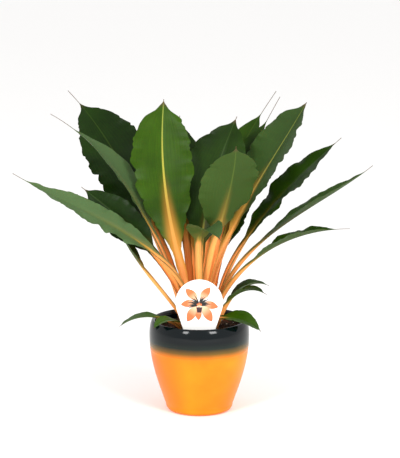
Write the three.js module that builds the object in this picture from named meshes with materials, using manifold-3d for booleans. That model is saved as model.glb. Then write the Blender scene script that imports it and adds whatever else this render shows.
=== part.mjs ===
// Potted mandarin plant: a rosette of broad, orange-stalked leaves on a short crown with fleshy
// roots, planted in a round glazed pot, with a printed plant label pushed into the soil.
// Millimetres, +Z up. The origin is the middle of the pot's foot, on the surface it stands on.

import * as THREE from 'three';
import { mergeVertices } from 'three/addons/utils/BufferGeometryUtils.js';
import Module from 'manifold-3d';

const wasm = await Module();
wasm.setup();

// ---- Driving dimensions: pot ----
const POT_HEIGHT = 129;
const POT_RADIUS = 70; // the widest point, just under the shoulder
const FOOT_RADIUS = 41; // the flat ring and disc that the pot stands on
const FOOT_ROUND = 8; // height of the rounded edge between foot and side
const FOOT_FLARE = 6; // how far that rounded edge reaches outwards
const SHOULDER_HEIGHT = 21; // from the widest point up to the crest of the rim
const SHOULDER_INSET = 5.5; // how far the crest lies inside the widest point
const LIP_INSET = 4.5; // how far the mouth lies inside the crest
const LIP_HEIGHT = 8; // from the crest down to the narrowest point of the mouth
const LIP_UNDERCUT = 16; // below the mouth, where the inside widens to the full wall
const POT_WALL = 5;
const POT_FLOOR = 8;
const DRAIN_HOLES = 3;
const DRAIN_RADIUS = 4;
const DRAIN_CIRCLE = 24; // radius of the circle that the drain holes lie on

// ---- Driving dimensions: soil, crown and roots ----
const SOIL_DROP = 13; // from the crest of the rim down to the soil
const CROWN_RADIUS = 27;
const CROWN_RISE = 7; // how far the crown stands out of the soil
const CROWN_DEPTH = 16; // how far the crown reaches into the soil
const ROOTS = 8;
const ROOT_REACH = 36; // how far a root end lies from the pot's axis
const ROOT_DEPTH = 78; // how far a long root end lies below the soil
const ROOT_RADIUS = 4.5;
const ROOT_TIP_RADIUS = 1.5;
const SHORT_ROOT = 0.72; // every second root is shorter by this share
const ROOT_BEND = 0.15; // radians that a root's middle swings round the axis
const ROOT_SEAT = 0.4; // where a root starts inside the crown, in crown radii

// ---- Driving dimensions: leaves ----
const SEAT_DEPTH = 5; // how deep a leaf stalk sits in its socket in the crown
const STALK_WIDTH = 15; // leaf stalk, measured round its channel
const STALK_BASE_WIDTH = 6;
const STALK_THICKNESS = 2.4;
const STALK_FOLD = 44; // degrees that each side of the channel stands up
const BLADE_THICKNESS = 1.1;
const MARGIN_THICKNESS = 0.8;
const TIP_WIDTH = 1.6;
const STALK_SPREAD = 0.25; // share of the leaf's length over which the stalk reaches full width
const SLIM_STALK = 0.32; // on a narrow leaf the stalk is this share of the blade's width
const NECK_BEFORE = 0.1; // shares of the length, before and after the blade starts, over which
const NECK_AFTER = 0.12; // the channelled stalk opens into the flat blade

// ---- Driving dimensions: plant label ----
const LABEL_WIDTH = 65;
const LABEL_RISE = 80; // from the soil to the top of the label
const LABEL_DEPTH = 50; // how deep its stake goes into the soil
const LABEL_THICKNESS = 1;
const LABEL_STAKE_WIDTH = 38; // at the soil
const LABEL_POINT_WIDTH = 8;
const LABEL_SETBACK = 12; // from the mouth of the pot back to the label

// ---- Clearances ----
const GAP = 0.3;

// ---- Mesh fineness ----
const POT_SIDES = 48;
const CROWN_SIDES = 28;
const LEAF_STATIONS = 17;
const SPINE_STEPS = 64;

// ---- Worked-out heights and radii ----
const SOIL_LEVEL = POT_HEIGHT - SOIL_DROP;
const WIDEST_LEVEL = POT_HEIGHT - SHOULDER_HEIGHT;
const CREST_RADIUS = POT_RADIUS - SHOULDER_INSET;
const MOUTH_RADIUS = CREST_RADIUS - LIP_INSET;
const MOUTH_LEVEL = POT_HEIGHT - LIP_HEIGHT;
const UNDERCUT_LEVEL = MOUTH_LEVEL - LIP_UNDERCUT;
const FLOOR_RADIUS = FOOT_RADIUS - POT_WALL;

const radians = THREE.MathUtils.degToRad;

// A leaf grows from `seat` (x, y on the crown, in crown radii). pitch (degrees above level),
// heading (degrees round from +X towards +Y) and roll (twist about its own midrib) are each given
// at the base, the middle and the tip, and change smoothly between. `stalk` is the share of the
// length that is stalk, `widest` is how far along the blade it is widest, a higher `taper` draws
// the tip out more, and `fold` is how far each half rises from the midrib, in degrees. A leaf that
// arches over the rim takes its length from the pot.
const LEAVES = [
  { name: 'leaf_tall_centre', seat: [-0.19, 0.11], length: 322, width: 88,
    stalk: 0.25, widest: 0.66, taper: 0.8,
    pitch: [75, 75, 81], heading: [160, 132, 60], roll: [-20, -40, 25], fold: 10 },
  { name: 'leaf_broad_back_left', seat: [-0.48, 0.41], length: 404, width: 92,
    stalk: 0.34, widest: 0.54, taper: 0.95,
    pitch: [78, 48, 37], heading: [172, 130, 145], roll: [0, -28, -24], fold: 14 },
  { name: 'leaf_upright_left', seat: [-0.70, 0.19], length: 366, width: 54,
    stalk: 0.36, widest: 0.5, taper: 1.4,
    pitch: [76, 57, 26], heading: [180, 156, 168], roll: [0, 0, 0], fold: 24 },
  { name: 'leaf_long_left', seat: [-0.19, -0.48], length: 354, width: 48,
    stalk: 0.34, widest: 0.4, taper: 1.3,
    pitch: [86, 32, 31], heading: [220, 176, 178], roll: [0, -22, -14], fold: 10 },
  { name: 'leaf_short_left', seat: [-0.74, -0.22], length: 254, width: 52,
    stalk: 0.46, widest: 0.5, taper: 1,
    pitch: [88, 49, 38], heading: [178, 170, 176], roll: [0, -62, -62], fold: 14 },
  { name: 'leaf_under_left', seat: [-0.52, -0.41], length: 176, width: 30,
    stalk: 0.6, widest: 0.5, taper: 1.1,
    pitch: [62, 52, 66], heading: [202, 186, 172], roll: [0, 0, 0], fold: 18 },
  { name: 'leaf_broad_middle', seat: [-0.04, 0.37], length: 302, width: 92,
    stalk: 0.34, widest: 0.56, taper: 1,
    pitch: [88, 74, 55], heading: [105, 50, 48], roll: [0, 30, 26], fold: 12 },
  { name: 'leaf_front_leaning', seat: [0.19, -0.19], length: 304, width: 84,
    stalk: 0.45, widest: 0.54, taper: 1,
    pitch: [90, 64, 54], heading: [-48, -60, -90], roll: [0, 0, 0], fold: 12 },
  { name: 'leaf_large_right', seat: [0.37, 0.04], length: 347, width: 90,
    stalk: 0.34, widest: 0.62, taper: 0.85,
    pitch: [85, 60, 58], heading: [34, 21, 21], roll: [0, 10, 8], fold: 18 },
  { name: 'leaf_back_right_high', seat: [0.22, 0.59], length: 376, width: 60,
    stalk: 0.38, widest: 0.5, taper: 1.3,
    pitch: [82, 53, 43], heading: [90, 60, 44], roll: [0, 20, 10], fold: 16 },
  { name: 'leaf_back_right_inner', seat: [0.44, 0.33], length: 348, width: 52,
    stalk: 0.4, widest: 0.5, taper: 1.3,
    pitch: [84, 61, 52], heading: [68, 49, 38], roll: [0, 10, 10], fold: 22 },
  { name: 'leaf_wavy_right', seat: [0.63, 0.11], length: 328, width: 62,
    stalk: 0.36, widest: 0.52, taper: 1.2,
    pitch: [80, 53, 38], heading: [18, 6, 18], roll: [0, 12, 10], fold: 12 },
  { name: 'leaf_long_right', seat: [0.70, -0.15], length: 332, width: 38,
    stalk: 0.38, widest: 0.5, taper: 1.2,
    pitch: [86, 39, 38], heading: [5, -6, 8], roll: [0, 0, 0], fold: 24 },
  { name: 'leaf_level_right', seat: [0.56, -0.37], length: 266, width: 42,
    stalk: 0.4, widest: 0.5, taper: 1.2,
    pitch: [77, 37, 1], heading: [-6, -14, -8], roll: [0, 0, 0], fold: 20 },
  { name: 'leaf_low_right_upper', seat: [0.81, -0.33], length: 112, width: 32,
    stalk: 0.4, widest: 0.5, taper: 1,
    pitch: [66, 49, -30], heading: [0, 0, 8], roll: [0, 0, 0], fold: 18 },
  { name: 'leaf_low_right_lower', seat: [0.63, -0.63], length: 118, width: 28,
    stalk: 0.4, widest: 0.5, taper: 1,
    pitch: [64, 45, -34], heading: [-24, -27, -16], roll: [0, 0, 0], fold: 18 },
  { name: 'leaf_over_rim_right', seat: [0.33, -0.70], length: POT_RADIUS + 28, width: 38,
    stalk: 0.36, widest: 0.5, taper: 1,
    pitch: [66, 1, -44], heading: [-54, -16, -2], roll: [0, 12, 12], fold: 14 },
  { name: 'leaf_over_rim_left', seat: [-0.81, -0.41], length: POT_RADIUS + 30, width: 32,
    stalk: 0.36, widest: 0.5, taper: 1,
    pitch: [48, 3, -41], heading: [185, 178, 170], roll: [0, 0, 0], fold: 14 },
  { name: 'leaf_over_rim_front', seat: [-0.44, -0.74], length: POT_RADIUS + 2, width: 28,
    stalk: 0.36, widest: 0.5, taper: 1,
    pitch: [52, 16, -48], heading: [225, 212, 206], roll: [0, 0, 0], fold: 14 },
  { name: 'leaf_young_folded', seat: [0.04, -0.63], length: 212, width: 50,
    stalk: 0.62, widest: 0.5, taper: 1,
    pitch: [66, 77, -48], heading: [-100, -92, -40], roll: [0, 0, 0], fold: 24 },
  { name: 'leaf_back_tall_left', seat: [-0.33, 0.67], length: 320, width: 74,
    stalk: 0.36, widest: 0.5, taper: 1.1,
    pitch: [80, 62, 38], heading: [112, 100, 88], roll: [0, 0, 0], fold: 14 },
  { name: 'leaf_back_tall', seat: [-0.07, 0.81], length: 290, width: 76,
    stalk: 0.36, widest: 0.5, taper: 1.1,
    pitch: [74, 50, 24], heading: [104, 104, 102], roll: [0, 0, 0], fold: 14 },
  { name: 'leaf_back_tall_right', seat: [0.52, 0.78], length: 282, width: 70,
    stalk: 0.36, widest: 0.5, taper: 1.1,
    pitch: [68, 54, 30], heading: [70, 70, 70], roll: [0, 0, 0], fold: 14 },
  { name: 'leaf_over_rim_back', seat: [0.11, 0.89], length: POT_RADIUS + 60, width: 36,
    stalk: 0.4, widest: 0.5, taper: 1,
    pitch: [58, 14, -38], heading: [88, 84, 90], roll: [0, 0, 0], fold: 14 },
];

// ---- Colours ----
const GLAZE = { color: 0x14242a, roughness: 0.12, metalness: 0 };
const SOIL = { color: 0x33241a, roughness: 1, metalness: 0 };
const ROOT = { color: 0xd9c8a0, roughness: 0.8, metalness: 0 };
const LEAF = { color: 0x35561c, roughness: 0.45, metalness: 0 };
const PLASTIC = { color: 0xf6f4ee, roughness: 0.35, metalness: 0 };

// ---- General helpers ----

// The value at t on the smooth curve through a value at t = 0, one at 0.5 and one at 1.
function along([base, middle, tip], t) {
  return base * (1 - t) * (1 - 2 * t) + middle * 4 * t * (1 - t) + tip * t * (2 * t - 1);
}

// A closed body through rings of the same number of points, with a flat cap on each end.
// Seen from the far end, each ring runs anticlockwise.
function loft(rings) {
  const count = rings[0].length;
  const positions = rings.flat().flatMap((point) => [point.x, point.y, point.z]);
  const index = [];
  for (let ring = 0; ring + 1 < rings.length; ring += 1) {
    for (let side = 0; side < count; side += 1) {
      const a = ring * count + side;
      const b = ring * count + ((side + 1) % count);
      index.push(a, b, b + count, a, b + count, a + count);
    }
  }
  const last = (rings.length - 1) * count;
  for (let side = 1; side + 1 < count; side += 1) {
    index.push(0, side + 1, side);
    index.push(last, last + side, last + side + 1);
  }
  const geometry = new THREE.BufferGeometry();
  geometry.setAttribute('position', new THREE.Float32BufferAttribute(positions, 3));
  geometry.setIndex(index);
  return geometry;
}

function toSolid(geometry) {
  const bare = geometry.clone();
  bare.deleteAttribute('normal');
  bare.deleteAttribute('uv');
  const merged = mergeVertices(bare, 1e-4);
  return new wasm.Manifold(new wasm.Mesh({
    numProp: 3,
    vertProperties: new Float32Array(merged.attributes.position.array),
    triVerts: new Uint32Array(merged.index.array),
  }));
}

function toGeometry(solid) {
  const mesh = solid.getMesh();
  const geometry = new THREE.BufferGeometry();
  geometry.setAttribute('position', new THREE.BufferAttribute(mesh.vertProperties, 3));
  geometry.setIndex(new THREE.BufferAttribute(mesh.triVerts, 1));
  return geometry;
}

function revolve(profile, sides) {
  const geometry = new THREE.LatheGeometry(profile.map(([r, z]) => new THREE.Vector2(r, z)), sides);
  geometry.rotateX(Math.PI / 2);
  return toSolid(geometry);
}

// ---- Pot ----

// The side swells from the foot to the widest point like a quarter of a wave.
function outerRadius(z) {
  const rise = (z - FOOT_ROUND) / (WIDEST_LEVEL - FOOT_ROUND);
  const low = FOOT_RADIUS + FOOT_FLARE;
  return low + (POT_RADIUS - low) * Math.sin(Math.min(rise, 1) * Math.PI / 2);
}

// Inside, the wall keeps its thickness up to the undercut, then draws in to the mouth.
function innerRadius(z) {
  if (z <= UNDERCUT_LEVEL) {
    return outerRadius(z) - POT_WALL;
  }
  const wide = outerRadius(UNDERCUT_LEVEL) - POT_WALL;
  const rise = Math.min((z - UNDERCUT_LEVEL) / (MOUTH_LEVEL - UNDERCUT_LEVEL), 1);
  return MOUTH_RADIUS + (wide - MOUTH_RADIUS) * (1 + Math.cos(rise * Math.PI)) / 2;
}

function levels(from, to, steps) {
  return Array.from({ length: steps + 1 }, (_, i) => from + (to - from) * i / steps);
}

function potProfile() {
  const profile = [[0, 0], [FOOT_RADIUS, 0]];
  for (const turn of levels(Math.PI / 6, Math.PI / 2, 2)) {
    profile.push([FOOT_RADIUS + FOOT_FLARE * Math.sin(turn), FOOT_ROUND * (1 - Math.cos(turn))]);
  }
  for (const z of levels(FOOT_ROUND, WIDEST_LEVEL, 8).slice(1)) {
    profile.push([outerRadius(z), z]);
  }
  for (const turn of levels(0, Math.PI / 2, 4).slice(1)) {
    const r = CREST_RADIUS + SHOULDER_INSET * Math.cos(turn);
    profile.push([r, WIDEST_LEVEL + SHOULDER_HEIGHT * Math.sin(turn)]);
  }
  for (const turn of levels(0, Math.PI / 2, 3).slice(1)) {
    const r = CREST_RADIUS - LIP_INSET * Math.sin(turn);
    profile.push([r, MOUTH_LEVEL + LIP_HEIGHT * Math.cos(turn)]);
  }
  for (const z of levels(MOUTH_LEVEL, UNDERCUT_LEVEL, 6).slice(1)) {
    profile.push([innerRadius(z), z]);
  }
  for (const z of levels(UNDERCUT_LEVEL, POT_FLOOR + FOOT_ROUND, 6).slice(1)) {
    profile.push([innerRadius(z), z]);
  }
  profile.push([FLOOR_RADIUS, POT_FLOOR], [0, POT_FLOOR]);
  return profile;
}

function buildPot() {
  let pot = revolve(potProfile(), POT_SIDES);
  for (let hole = 0; hole < DRAIN_HOLES; hole += 1) {
    const drill = new THREE.CylinderGeometry(DRAIN_RADIUS, DRAIN_RADIUS, POT_FLOOR * 2, 16);
    const turn = 2 * Math.PI * (hole + 0.25) / DRAIN_HOLES;
    drill.rotateX(Math.PI / 2);
    drill.translate(DRAIN_CIRCLE * Math.cos(turn), DRAIN_CIRCLE * Math.sin(turn), POT_FLOOR / 2);
    pot = pot.subtract(toSolid(drill));
  }
  return pot;
}

// ---- Leaves ----

// Points, directions and cross axes along a leaf's midrib.
function midrib(leaf) {
  const seatRise = CROWN_RISE * Math.sqrt(1 - Math.hypot(...leaf.seat) ** 2);
  const point = new THREE.Vector3(leaf.seat[0] * CROWN_RADIUS, leaf.seat[1] * CROWN_RADIUS,
    SOIL_LEVEL + seatRise - SEAT_DEPTH);
  const stations = [];
  for (let step = 0; step <= SPINE_STEPS; step += 1) {
    const t = step / SPINE_STEPS;
    const pitch = radians(along(leaf.pitch, t));
    const heading = radians(along(leaf.heading, t));
    const roll = radians(along(leaf.roll, t));
    const forward = new THREE.Vector3(
      Math.cos(pitch) * Math.cos(heading), Math.cos(pitch) * Math.sin(heading), Math.sin(pitch));
    const up = new THREE.Vector3(
      -Math.sin(pitch) * Math.cos(heading), -Math.sin(pitch) * Math.sin(heading), Math.cos(pitch));
    up.applyAxisAngle(forward, roll);
    const side = new THREE.Vector3().crossVectors(forward, up);
    stations.push({ t, point: point.clone(), forward, up, side });
    point.addScaledVector(forward, leaf.length / SPINE_STEPS);
  }
  return stations;
}

// Half the leaf's width, measured along its surface. The blade is a rise and a longer fall that
// meet at the widest place, so that it tapers to a drawn-out tip.
function halfWidth(leaf, t) {
  const spread = Math.min(t / STALK_SPREAD, 1);
  const stalk = THREE.MathUtils.lerp(STALK_BASE_WIDTH, STALK_WIDTH, spread) / 2;
  const narrow = Math.min(stalk, leaf.width * SLIM_STALK / 2);
  if (t <= leaf.stalk) {
    return narrow;
  }
  const s = (t - leaf.stalk) / (1 - leaf.stalk);
  const rise = leaf.taper * leaf.widest / (1 - leaf.widest);
  const swell = (s / leaf.widest) ** rise * ((1 - s) / (1 - leaf.widest)) ** leaf.taper;
  return Math.max(leaf.width / 2 * swell, narrow * (1 - s), TIP_WIDTH / 2);
}

// One ring of six points: three along the upper face and three along the lower face.
function leafRing(leaf, station, grow) {
  const { t, point, up, side } = station;
  const blade = THREE.MathUtils.smoothstep(t, leaf.stalk - NECK_BEFORE, leaf.stalk + NECK_AFTER);
  const fold = radians(THREE.MathUtils.lerp(STALK_FOLD, leaf.fold, blade));
  const half = halfWidth(leaf, t) + grow;
  const middle = THREE.MathUtils.lerp(STALK_THICKNESS, BLADE_THICKNESS, blade);
  const margin = THREE.MathUtils.lerp(STALK_THICKNESS / 2, MARGIN_THICKNESS, blade);
  const place = (across, rise) => point.clone().addScaledVector(side, across).addScaledVector(up, rise);
  const across = half * Math.cos(fold);
  const rise = half * Math.sin(fold);
  return [
    place(0, grow), place(across, rise + grow), place(across, rise - margin - grow),
    place(0, -middle - grow), place(-across, rise - margin - grow), place(-across, rise + grow),
  ];
}

function buildLeaf(leaf, grow) {
  const stations = midrib(leaf);
  const rings = [];
  for (let i = 0; i < LEAF_STATIONS; i += 1) {
    const station = stations[Math.round(i * SPINE_STEPS / (LEAF_STATIONS - 1))];
    rings.push(leafRing(leaf, station, grow));
  }
  for (const point of rings[0]) {
    point.addScaledVector(stations[0].forward, -grow);
  }
  for (const point of rings[LEAF_STATIONS - 1]) {
    point.addScaledVector(stations[SPINE_STEPS].forward, grow);
  }
  return toSolid(loft(rings));
}

// ---- Crown and roots ----

function buildCrownBody(grow) {
  const profile = levels(-Math.PI / 2, Math.PI / 2, 10).map((turn) => {
    const tall = Math.sin(turn) > 0 ? CROWN_RISE : CROWN_DEPTH;
    return [(CROWN_RADIUS + grow) * Math.cos(turn), SOIL_LEVEL + (tall + grow) * Math.sin(turn)];
  });
  profile[0][0] = 0;
  profile[profile.length - 1][0] = 0;
  return revolve(profile, CROWN_SIDES);
}

// A root leaves the crown sideways, bends down and thins to a blunt end.
function buildRoot(number, grow) {
  const turn = 2 * Math.PI * (number + 0.5) / ROOTS;
  const size = number % 2 === 0 ? 1 : SHORT_ROOT;
  const reach = ROOT_REACH * size;
  const depth = ROOT_DEPTH * size;
  const at = (radius, angle, z) =>
    new THREE.Vector3(radius * Math.cos(angle), radius * Math.sin(angle), SOIL_LEVEL - z);
  const path = new THREE.CatmullRomCurve3([
    at(CROWN_RADIUS * ROOT_SEAT, turn, CROWN_DEPTH / 2),
    at(reach * 0.85, turn + ROOT_BEND, depth * 0.45),
    at(reach, turn, depth),
  ]);
  const steps = 8;
  const sides = 7;
  const frames = path.computeFrenetFrames(steps, false);
  const rings = levels(0, 1, steps).map((t, i) => {
    const radius = THREE.MathUtils.lerp(ROOT_RADIUS, ROOT_TIP_RADIUS, t * t) + grow;
    const middle = path.getPointAt(t).addScaledVector(path.getTangentAt(t), i === steps ? grow : 0);
    return levels(0, 2 * Math.PI, sides).slice(1).map((angle) => middle.clone()
      .addScaledVector(frames.normals[i], radius * Math.cos(angle))
      .addScaledVector(frames.binormals[i], radius * Math.sin(angle)));
  });
  return toSolid(loft(rings));
}

function buildCrown(grow) {
  let crown = buildCrownBody(grow);
  for (let number = 0; number < ROOTS; number += 1) {
    crown = crown.add(buildRoot(number, grow));
  }
  return crown;
}

// ---- Plant label ----

// A round head that runs straight down into a tapering, pointed stake.
function buildLabel(grow) {
  const headRadius = LABEL_WIDTH / 2 + grow;
  const headLevel = SOIL_LEVEL + LABEL_RISE - LABEL_WIDTH / 2;
  const y = -(MOUTH_RADIUS - LABEL_SETBACK);
  const outline = new THREE.Shape();
  outline.moveTo(-LABEL_POINT_WIDTH / 2 - grow, SOIL_LEVEL - LABEL_DEPTH - grow);
  outline.lineTo(LABEL_POINT_WIDTH / 2 + grow, SOIL_LEVEL - LABEL_DEPTH - grow);
  outline.lineTo(LABEL_STAKE_WIDTH / 2 + grow, SOIL_LEVEL);
  outline.absarc(0, headLevel, headRadius, radians(-18), radians(198), false);
  outline.lineTo(-LABEL_STAKE_WIDTH / 2 - grow, SOIL_LEVEL);
  outline.closePath();
  const thickness = LABEL_THICKNESS + 2 * grow;
  const plate = new THREE.ExtrudeGeometry(outline, {
    depth: thickness, bevelEnabled: false, curveSegments: 24,
  });
  plate.rotateX(Math.PI / 2);
  plate.translate(0, y + thickness / 2, 0);
  return toSolid(plate);
}

// ---- Soil ----

function buildSoil(crownRoom, labelRoom) {
  const base = POT_FLOOR + GAP;
  const profile = [[0, base], [FLOOR_RADIUS - 2 * GAP, base]];
  for (const z of levels(POT_FLOOR + FOOT_ROUND, UNDERCUT_LEVEL, 6)) {
    profile.push([innerRadius(z) - GAP, z]);
  }
  for (const z of levels(UNDERCUT_LEVEL, SOIL_LEVEL, 6).slice(1)) {
    profile.push([innerRadius(z) - GAP, z]);
  }
  profile.push([0, SOIL_LEVEL]);
  return revolve(profile, POT_SIDES).subtract(crownRoom).subtract(labelRoom);
}

// ---- Assembly ----

const group = new THREE.Group();

function place(name, solid, finish) {
  const mesh = new THREE.Mesh(toGeometry(solid), new THREE.MeshStandardMaterial(finish));
  mesh.name = name;
  group.add(mesh);
}

// Each stalk sits in a socket in the crown, and the soil closes round the outer ones. Where two
// leaves press together, the later one makes room for the earlier one.
let crown = buildCrown(0);
let soil = buildSoil(buildCrown(GAP), buildLabel(GAP));
const rooms = [];
for (const leaf of LEAVES) {
  const blade = rooms.reduce((solid, room) => solid.subtract(room), buildLeaf(leaf, 0));
  place(leaf.name, blade, LEAF);
  const room = buildLeaf(leaf, GAP);
  rooms.push(room);
  crown = crown.subtract(room);
  soil = soil.subtract(room);
}

place('glazed_pot', buildPot(), GLAZE);
place('potting_soil', soil, SOIL);
place('crown_with_roots', crown, ROOT);
place('plant_label', buildLabel(0), PLASTIC);

export default group;
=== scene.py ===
# %% [markdown]
# # A potted mandarin plant
# A mandarin plant is a broad-leaved cousin of the spider plant: a rosette of dark green leaves
# on bright orange stalks, growing from a short crown in a round glazed pot. This lesson loads the
# measured model as a fixed frame, then builds each visible piece in the space that the frame
# holds for it: turned pot and soil, swept leaves, a printed label and loose peat.

# %% Load the frame
import math

import bmesh
import bpy
import numpy as np
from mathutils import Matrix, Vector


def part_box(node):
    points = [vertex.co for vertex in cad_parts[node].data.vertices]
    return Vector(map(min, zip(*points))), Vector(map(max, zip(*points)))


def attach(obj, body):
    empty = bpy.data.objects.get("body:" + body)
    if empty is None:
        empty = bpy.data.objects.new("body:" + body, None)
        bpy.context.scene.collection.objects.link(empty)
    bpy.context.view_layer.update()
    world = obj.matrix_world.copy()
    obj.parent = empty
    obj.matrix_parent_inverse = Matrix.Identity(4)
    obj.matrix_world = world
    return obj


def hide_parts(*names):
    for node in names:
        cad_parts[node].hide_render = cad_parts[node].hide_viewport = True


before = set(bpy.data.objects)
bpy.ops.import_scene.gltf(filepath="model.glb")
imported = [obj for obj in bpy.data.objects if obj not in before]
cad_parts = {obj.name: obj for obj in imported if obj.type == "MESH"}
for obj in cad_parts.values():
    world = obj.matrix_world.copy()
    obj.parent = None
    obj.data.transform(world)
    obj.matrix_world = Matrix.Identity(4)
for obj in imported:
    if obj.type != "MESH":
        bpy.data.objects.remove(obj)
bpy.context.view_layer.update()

print("CAD nodes:", len(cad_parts))

# %% [markdown]
# Sizes come first. The frame gives the heights and the widest radius, and the rest are the
# same named sizes as in the part's own source, here in metres.

# %% Sizes
MM = 0.001
ROOT_BODY = "root"
SEED = 7

POT_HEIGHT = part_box("glazed_pot")[1].z
POT_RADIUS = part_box("glazed_pot")[1].x
FOOT_RADIUS = 41 * MM
FOOT_ROUND = 8 * MM
FOOT_FLARE = 6 * MM
SHOULDER_HEIGHT = 21 * MM
SHOULDER_INSET = 5.5 * MM
LIP_INSET = 4.5 * MM
LIP_HEIGHT = 8 * MM
LIP_UNDERCUT = 16 * MM
POT_WALL = 5 * MM
POT_FLOOR = 8 * MM
DRAIN_HOLES = 3
DRAIN_RADIUS = 4 * MM
DRAIN_CIRCLE = 24 * MM

SOIL_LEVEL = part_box("potting_soil")[1].z
CROWN_RADIUS = 27 * MM
CROWN_RISE = 7 * MM
CROWN_DEPTH = 16 * MM
GAP = 0.3 * MM

WIDEST_LEVEL = POT_HEIGHT - SHOULDER_HEIGHT
CREST_RADIUS = POT_RADIUS - SHOULDER_INSET
MOUTH_RADIUS = CREST_RADIUS - LIP_INSET
MOUTH_LEVEL = POT_HEIGHT - LIP_HEIGHT
UNDERCUT_LEVEL = MOUTH_LEVEL - LIP_UNDERCUT
print(f"pot {POT_RADIUS * 2:.3f} m across, {POT_HEIGHT:.3f} m high, soil at {SOIL_LEVEL:.3f} m")

# %% [markdown]
# A few helpers serve the whole lesson. Colours are written as sRGB hex, as a paint chart gives
# them, and turned to the linear values that a renderer works in. Nodes, in materials and in
# Geometry Nodes alike, are added by one function that takes the settings and the links together.

# %% Colour and node helpers
def linear(code):
    channels = [int(code[i:i + 2], 16) / 255 for i in (0, 2, 4)]
    curve = [c / 12.92 if c <= 0.04045 else ((c + 0.055) / 1.055) ** 2.4 for c in channels]
    return (*curve, 1.0)


def add(tree, kind, inputs=None, **settings):
    """Adds a node. An input may be a plain value, another node's output, or a node itself."""
    node = tree.nodes.new(kind)
    for name, value in settings.items():
        setattr(node, name, value)
    for key, value in (inputs or {}).items():
        if isinstance(value, bpy.types.Node):
            value = value.outputs[0]
        if isinstance(value, bpy.types.NodeSocket):
            tree.links.new(value, node.inputs[key])
        else:
            node.inputs[key].default_value = value
    return node


def set_stops(ramp, codes):
    """Gives a colour ramp its stops. `codes` holds a colour for each place along the ramp."""
    stops = ramp.color_ramp.elements
    places = sorted(codes)
    stops[0].position, stops[1].position = places[0], places[-1]
    for place in places[1:-1]:
        stops.new(place)
    for stop, place in zip(stops, places):
        stop.color = linear(codes[place])


def new_material(name):
    material = bpy.data.materials.new(name)
    material.use_nodes = True
    material.node_tree.nodes.clear()
    return material, material.node_tree


def finish_material(tree, surface):
    add(tree, "ShaderNodeOutputMaterial", {"Surface": surface})


# %% [markdown]
# A Geometry Nodes tree here always has one geometry in, named sizes beside it and one geometry
# out. `bake` sets the sizes by socket identifier, evaluates the tree once, keeps the result as
# a plain mesh and removes the modifier. Doubles are merged and normals are made to point
# outwards, because a swept or turned skin can come out inside out. What comes back is the
# number of edges that don't have exactly two faces, which is none on a closed piece.

# %% Geometry Nodes helpers
def new_tree(name, sizes):
    tree = bpy.data.node_groups.new(name, "GeometryNodeTree")
    tree.interface.new_socket("Geometry", in_out="INPUT", socket_type="NodeSocketGeometry")
    tree.interface.new_socket("Geometry", in_out="OUTPUT", socket_type="NodeSocketGeometry")
    for label, kind in sizes.items():
        tree.interface.new_socket(label, in_out="INPUT", socket_type="NodeSocket" + kind)
    return tree, tree.nodes.new("NodeGroupInput").outputs


def end_tree(tree, geometry, material):
    whole = add(tree, "GeometryNodeRealizeInstances", {"Geometry": geometry})
    painted = add(tree, "GeometryNodeSetMaterial", {"Geometry": whole, "Material": material})
    add(tree, "NodeGroupOutput", {"Geometry": painted})


def bake(name, source, tree, sizes):
    piece = bpy.data.objects.new(name, source)
    bpy.context.scene.collection.objects.link(piece)
    modifier = piece.modifiers.new("shape", "NODES")
    modifier.node_group = tree
    sockets = {s.name: s.identifier for s in tree.interface.items_tree if s.in_out == "INPUT"}
    for label, value in sizes.items():
        modifier[sockets[label]] = value
    graph = bpy.context.evaluated_depsgraph_get()
    shaped = piece.evaluated_get(graph)
    mesh = bpy.data.meshes.new_from_object(shaped, preserve_all_data_layers=True, depsgraph=graph)
    piece.modifiers.clear()
    piece.data = mesh
    mesh.name = name
    return piece


def close_and_orient(piece, distance=0.01 * MM):
    shell = bmesh.new()
    shell.from_mesh(piece.data)
    if distance > 0:
        bmesh.ops.remove_doubles(shell, verts=shell.verts, dist=distance)
    bmesh.ops.recalc_face_normals(shell, faces=shell.faces)
    if shell.calc_volume(signed=True) < 0:
        bmesh.ops.reverse_faces(shell, faces=shell.faces)
    open_edges = sum(1 for edge in shell.edges if not edge.is_manifold)
    shell.to_mesh(piece.data)
    shell.free()
    piece.data.shade_smooth()
    return open_edges


def join(name, pieces):
    with bpy.context.temp_override(active_object=pieces[0], selected_editable_objects=pieces):
        bpy.ops.object.join()
    whole = pieces[0]
    whole.name = name
    open_edges = close_and_orient(whole)
    print(name, len(whole.data.polygons), "faces,", open_edges, "open edges")
    return whole


def polyline(name, points, **fields):
    """A mesh of one open line, with a named value or vector on each of its points."""
    mesh = bpy.data.meshes.new(name)
    mesh.from_pydata([tuple(p) for p in points], [(i, i + 1) for i in range(len(points) - 1)], [])
    for field, values in fields.items():
        values = np.asarray(values, np.float32)
        vector = values.ndim == 2
        layer = mesh.attributes.new(field, "FLOAT_VECTOR" if vector else "FLOAT", "POINT")
        layer.data.foreach_set("vector" if vector else "value", values.ravel())
    return mesh


def settle(piece, *nodes, slot):
    """Makes a finished piece ride on the one body and stand for its CAD nodes. `slot` is not used."""
    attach(piece, ROOT_BODY)
    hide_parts(*nodes)


# %% [markdown]
# ## Camera, light and floor
# The plant stands in a white sweep under large soft lights. The camera is a long lens three
# metres away and a little above the rim, so the pot's mouth shows as a narrow ellipse.

# %% Camera
CAMERA_PLACE = (0.001, -3.0, 0.883)
CAMERA_PITCH = 11.792
LENS = 173.86

camera_data = bpy.data.cameras.new("camera")
camera_data.lens = LENS
camera_data.sensor_width = 36
camera_data.sensor_fit = "AUTO"
camera = bpy.data.objects.new("camera", camera_data)
camera.location = CAMERA_PLACE
camera.rotation_euler = (math.radians(90 - CAMERA_PITCH), 0, 0)
bpy.context.scene.collection.objects.link(camera)
bpy.context.scene.camera = camera


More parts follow.
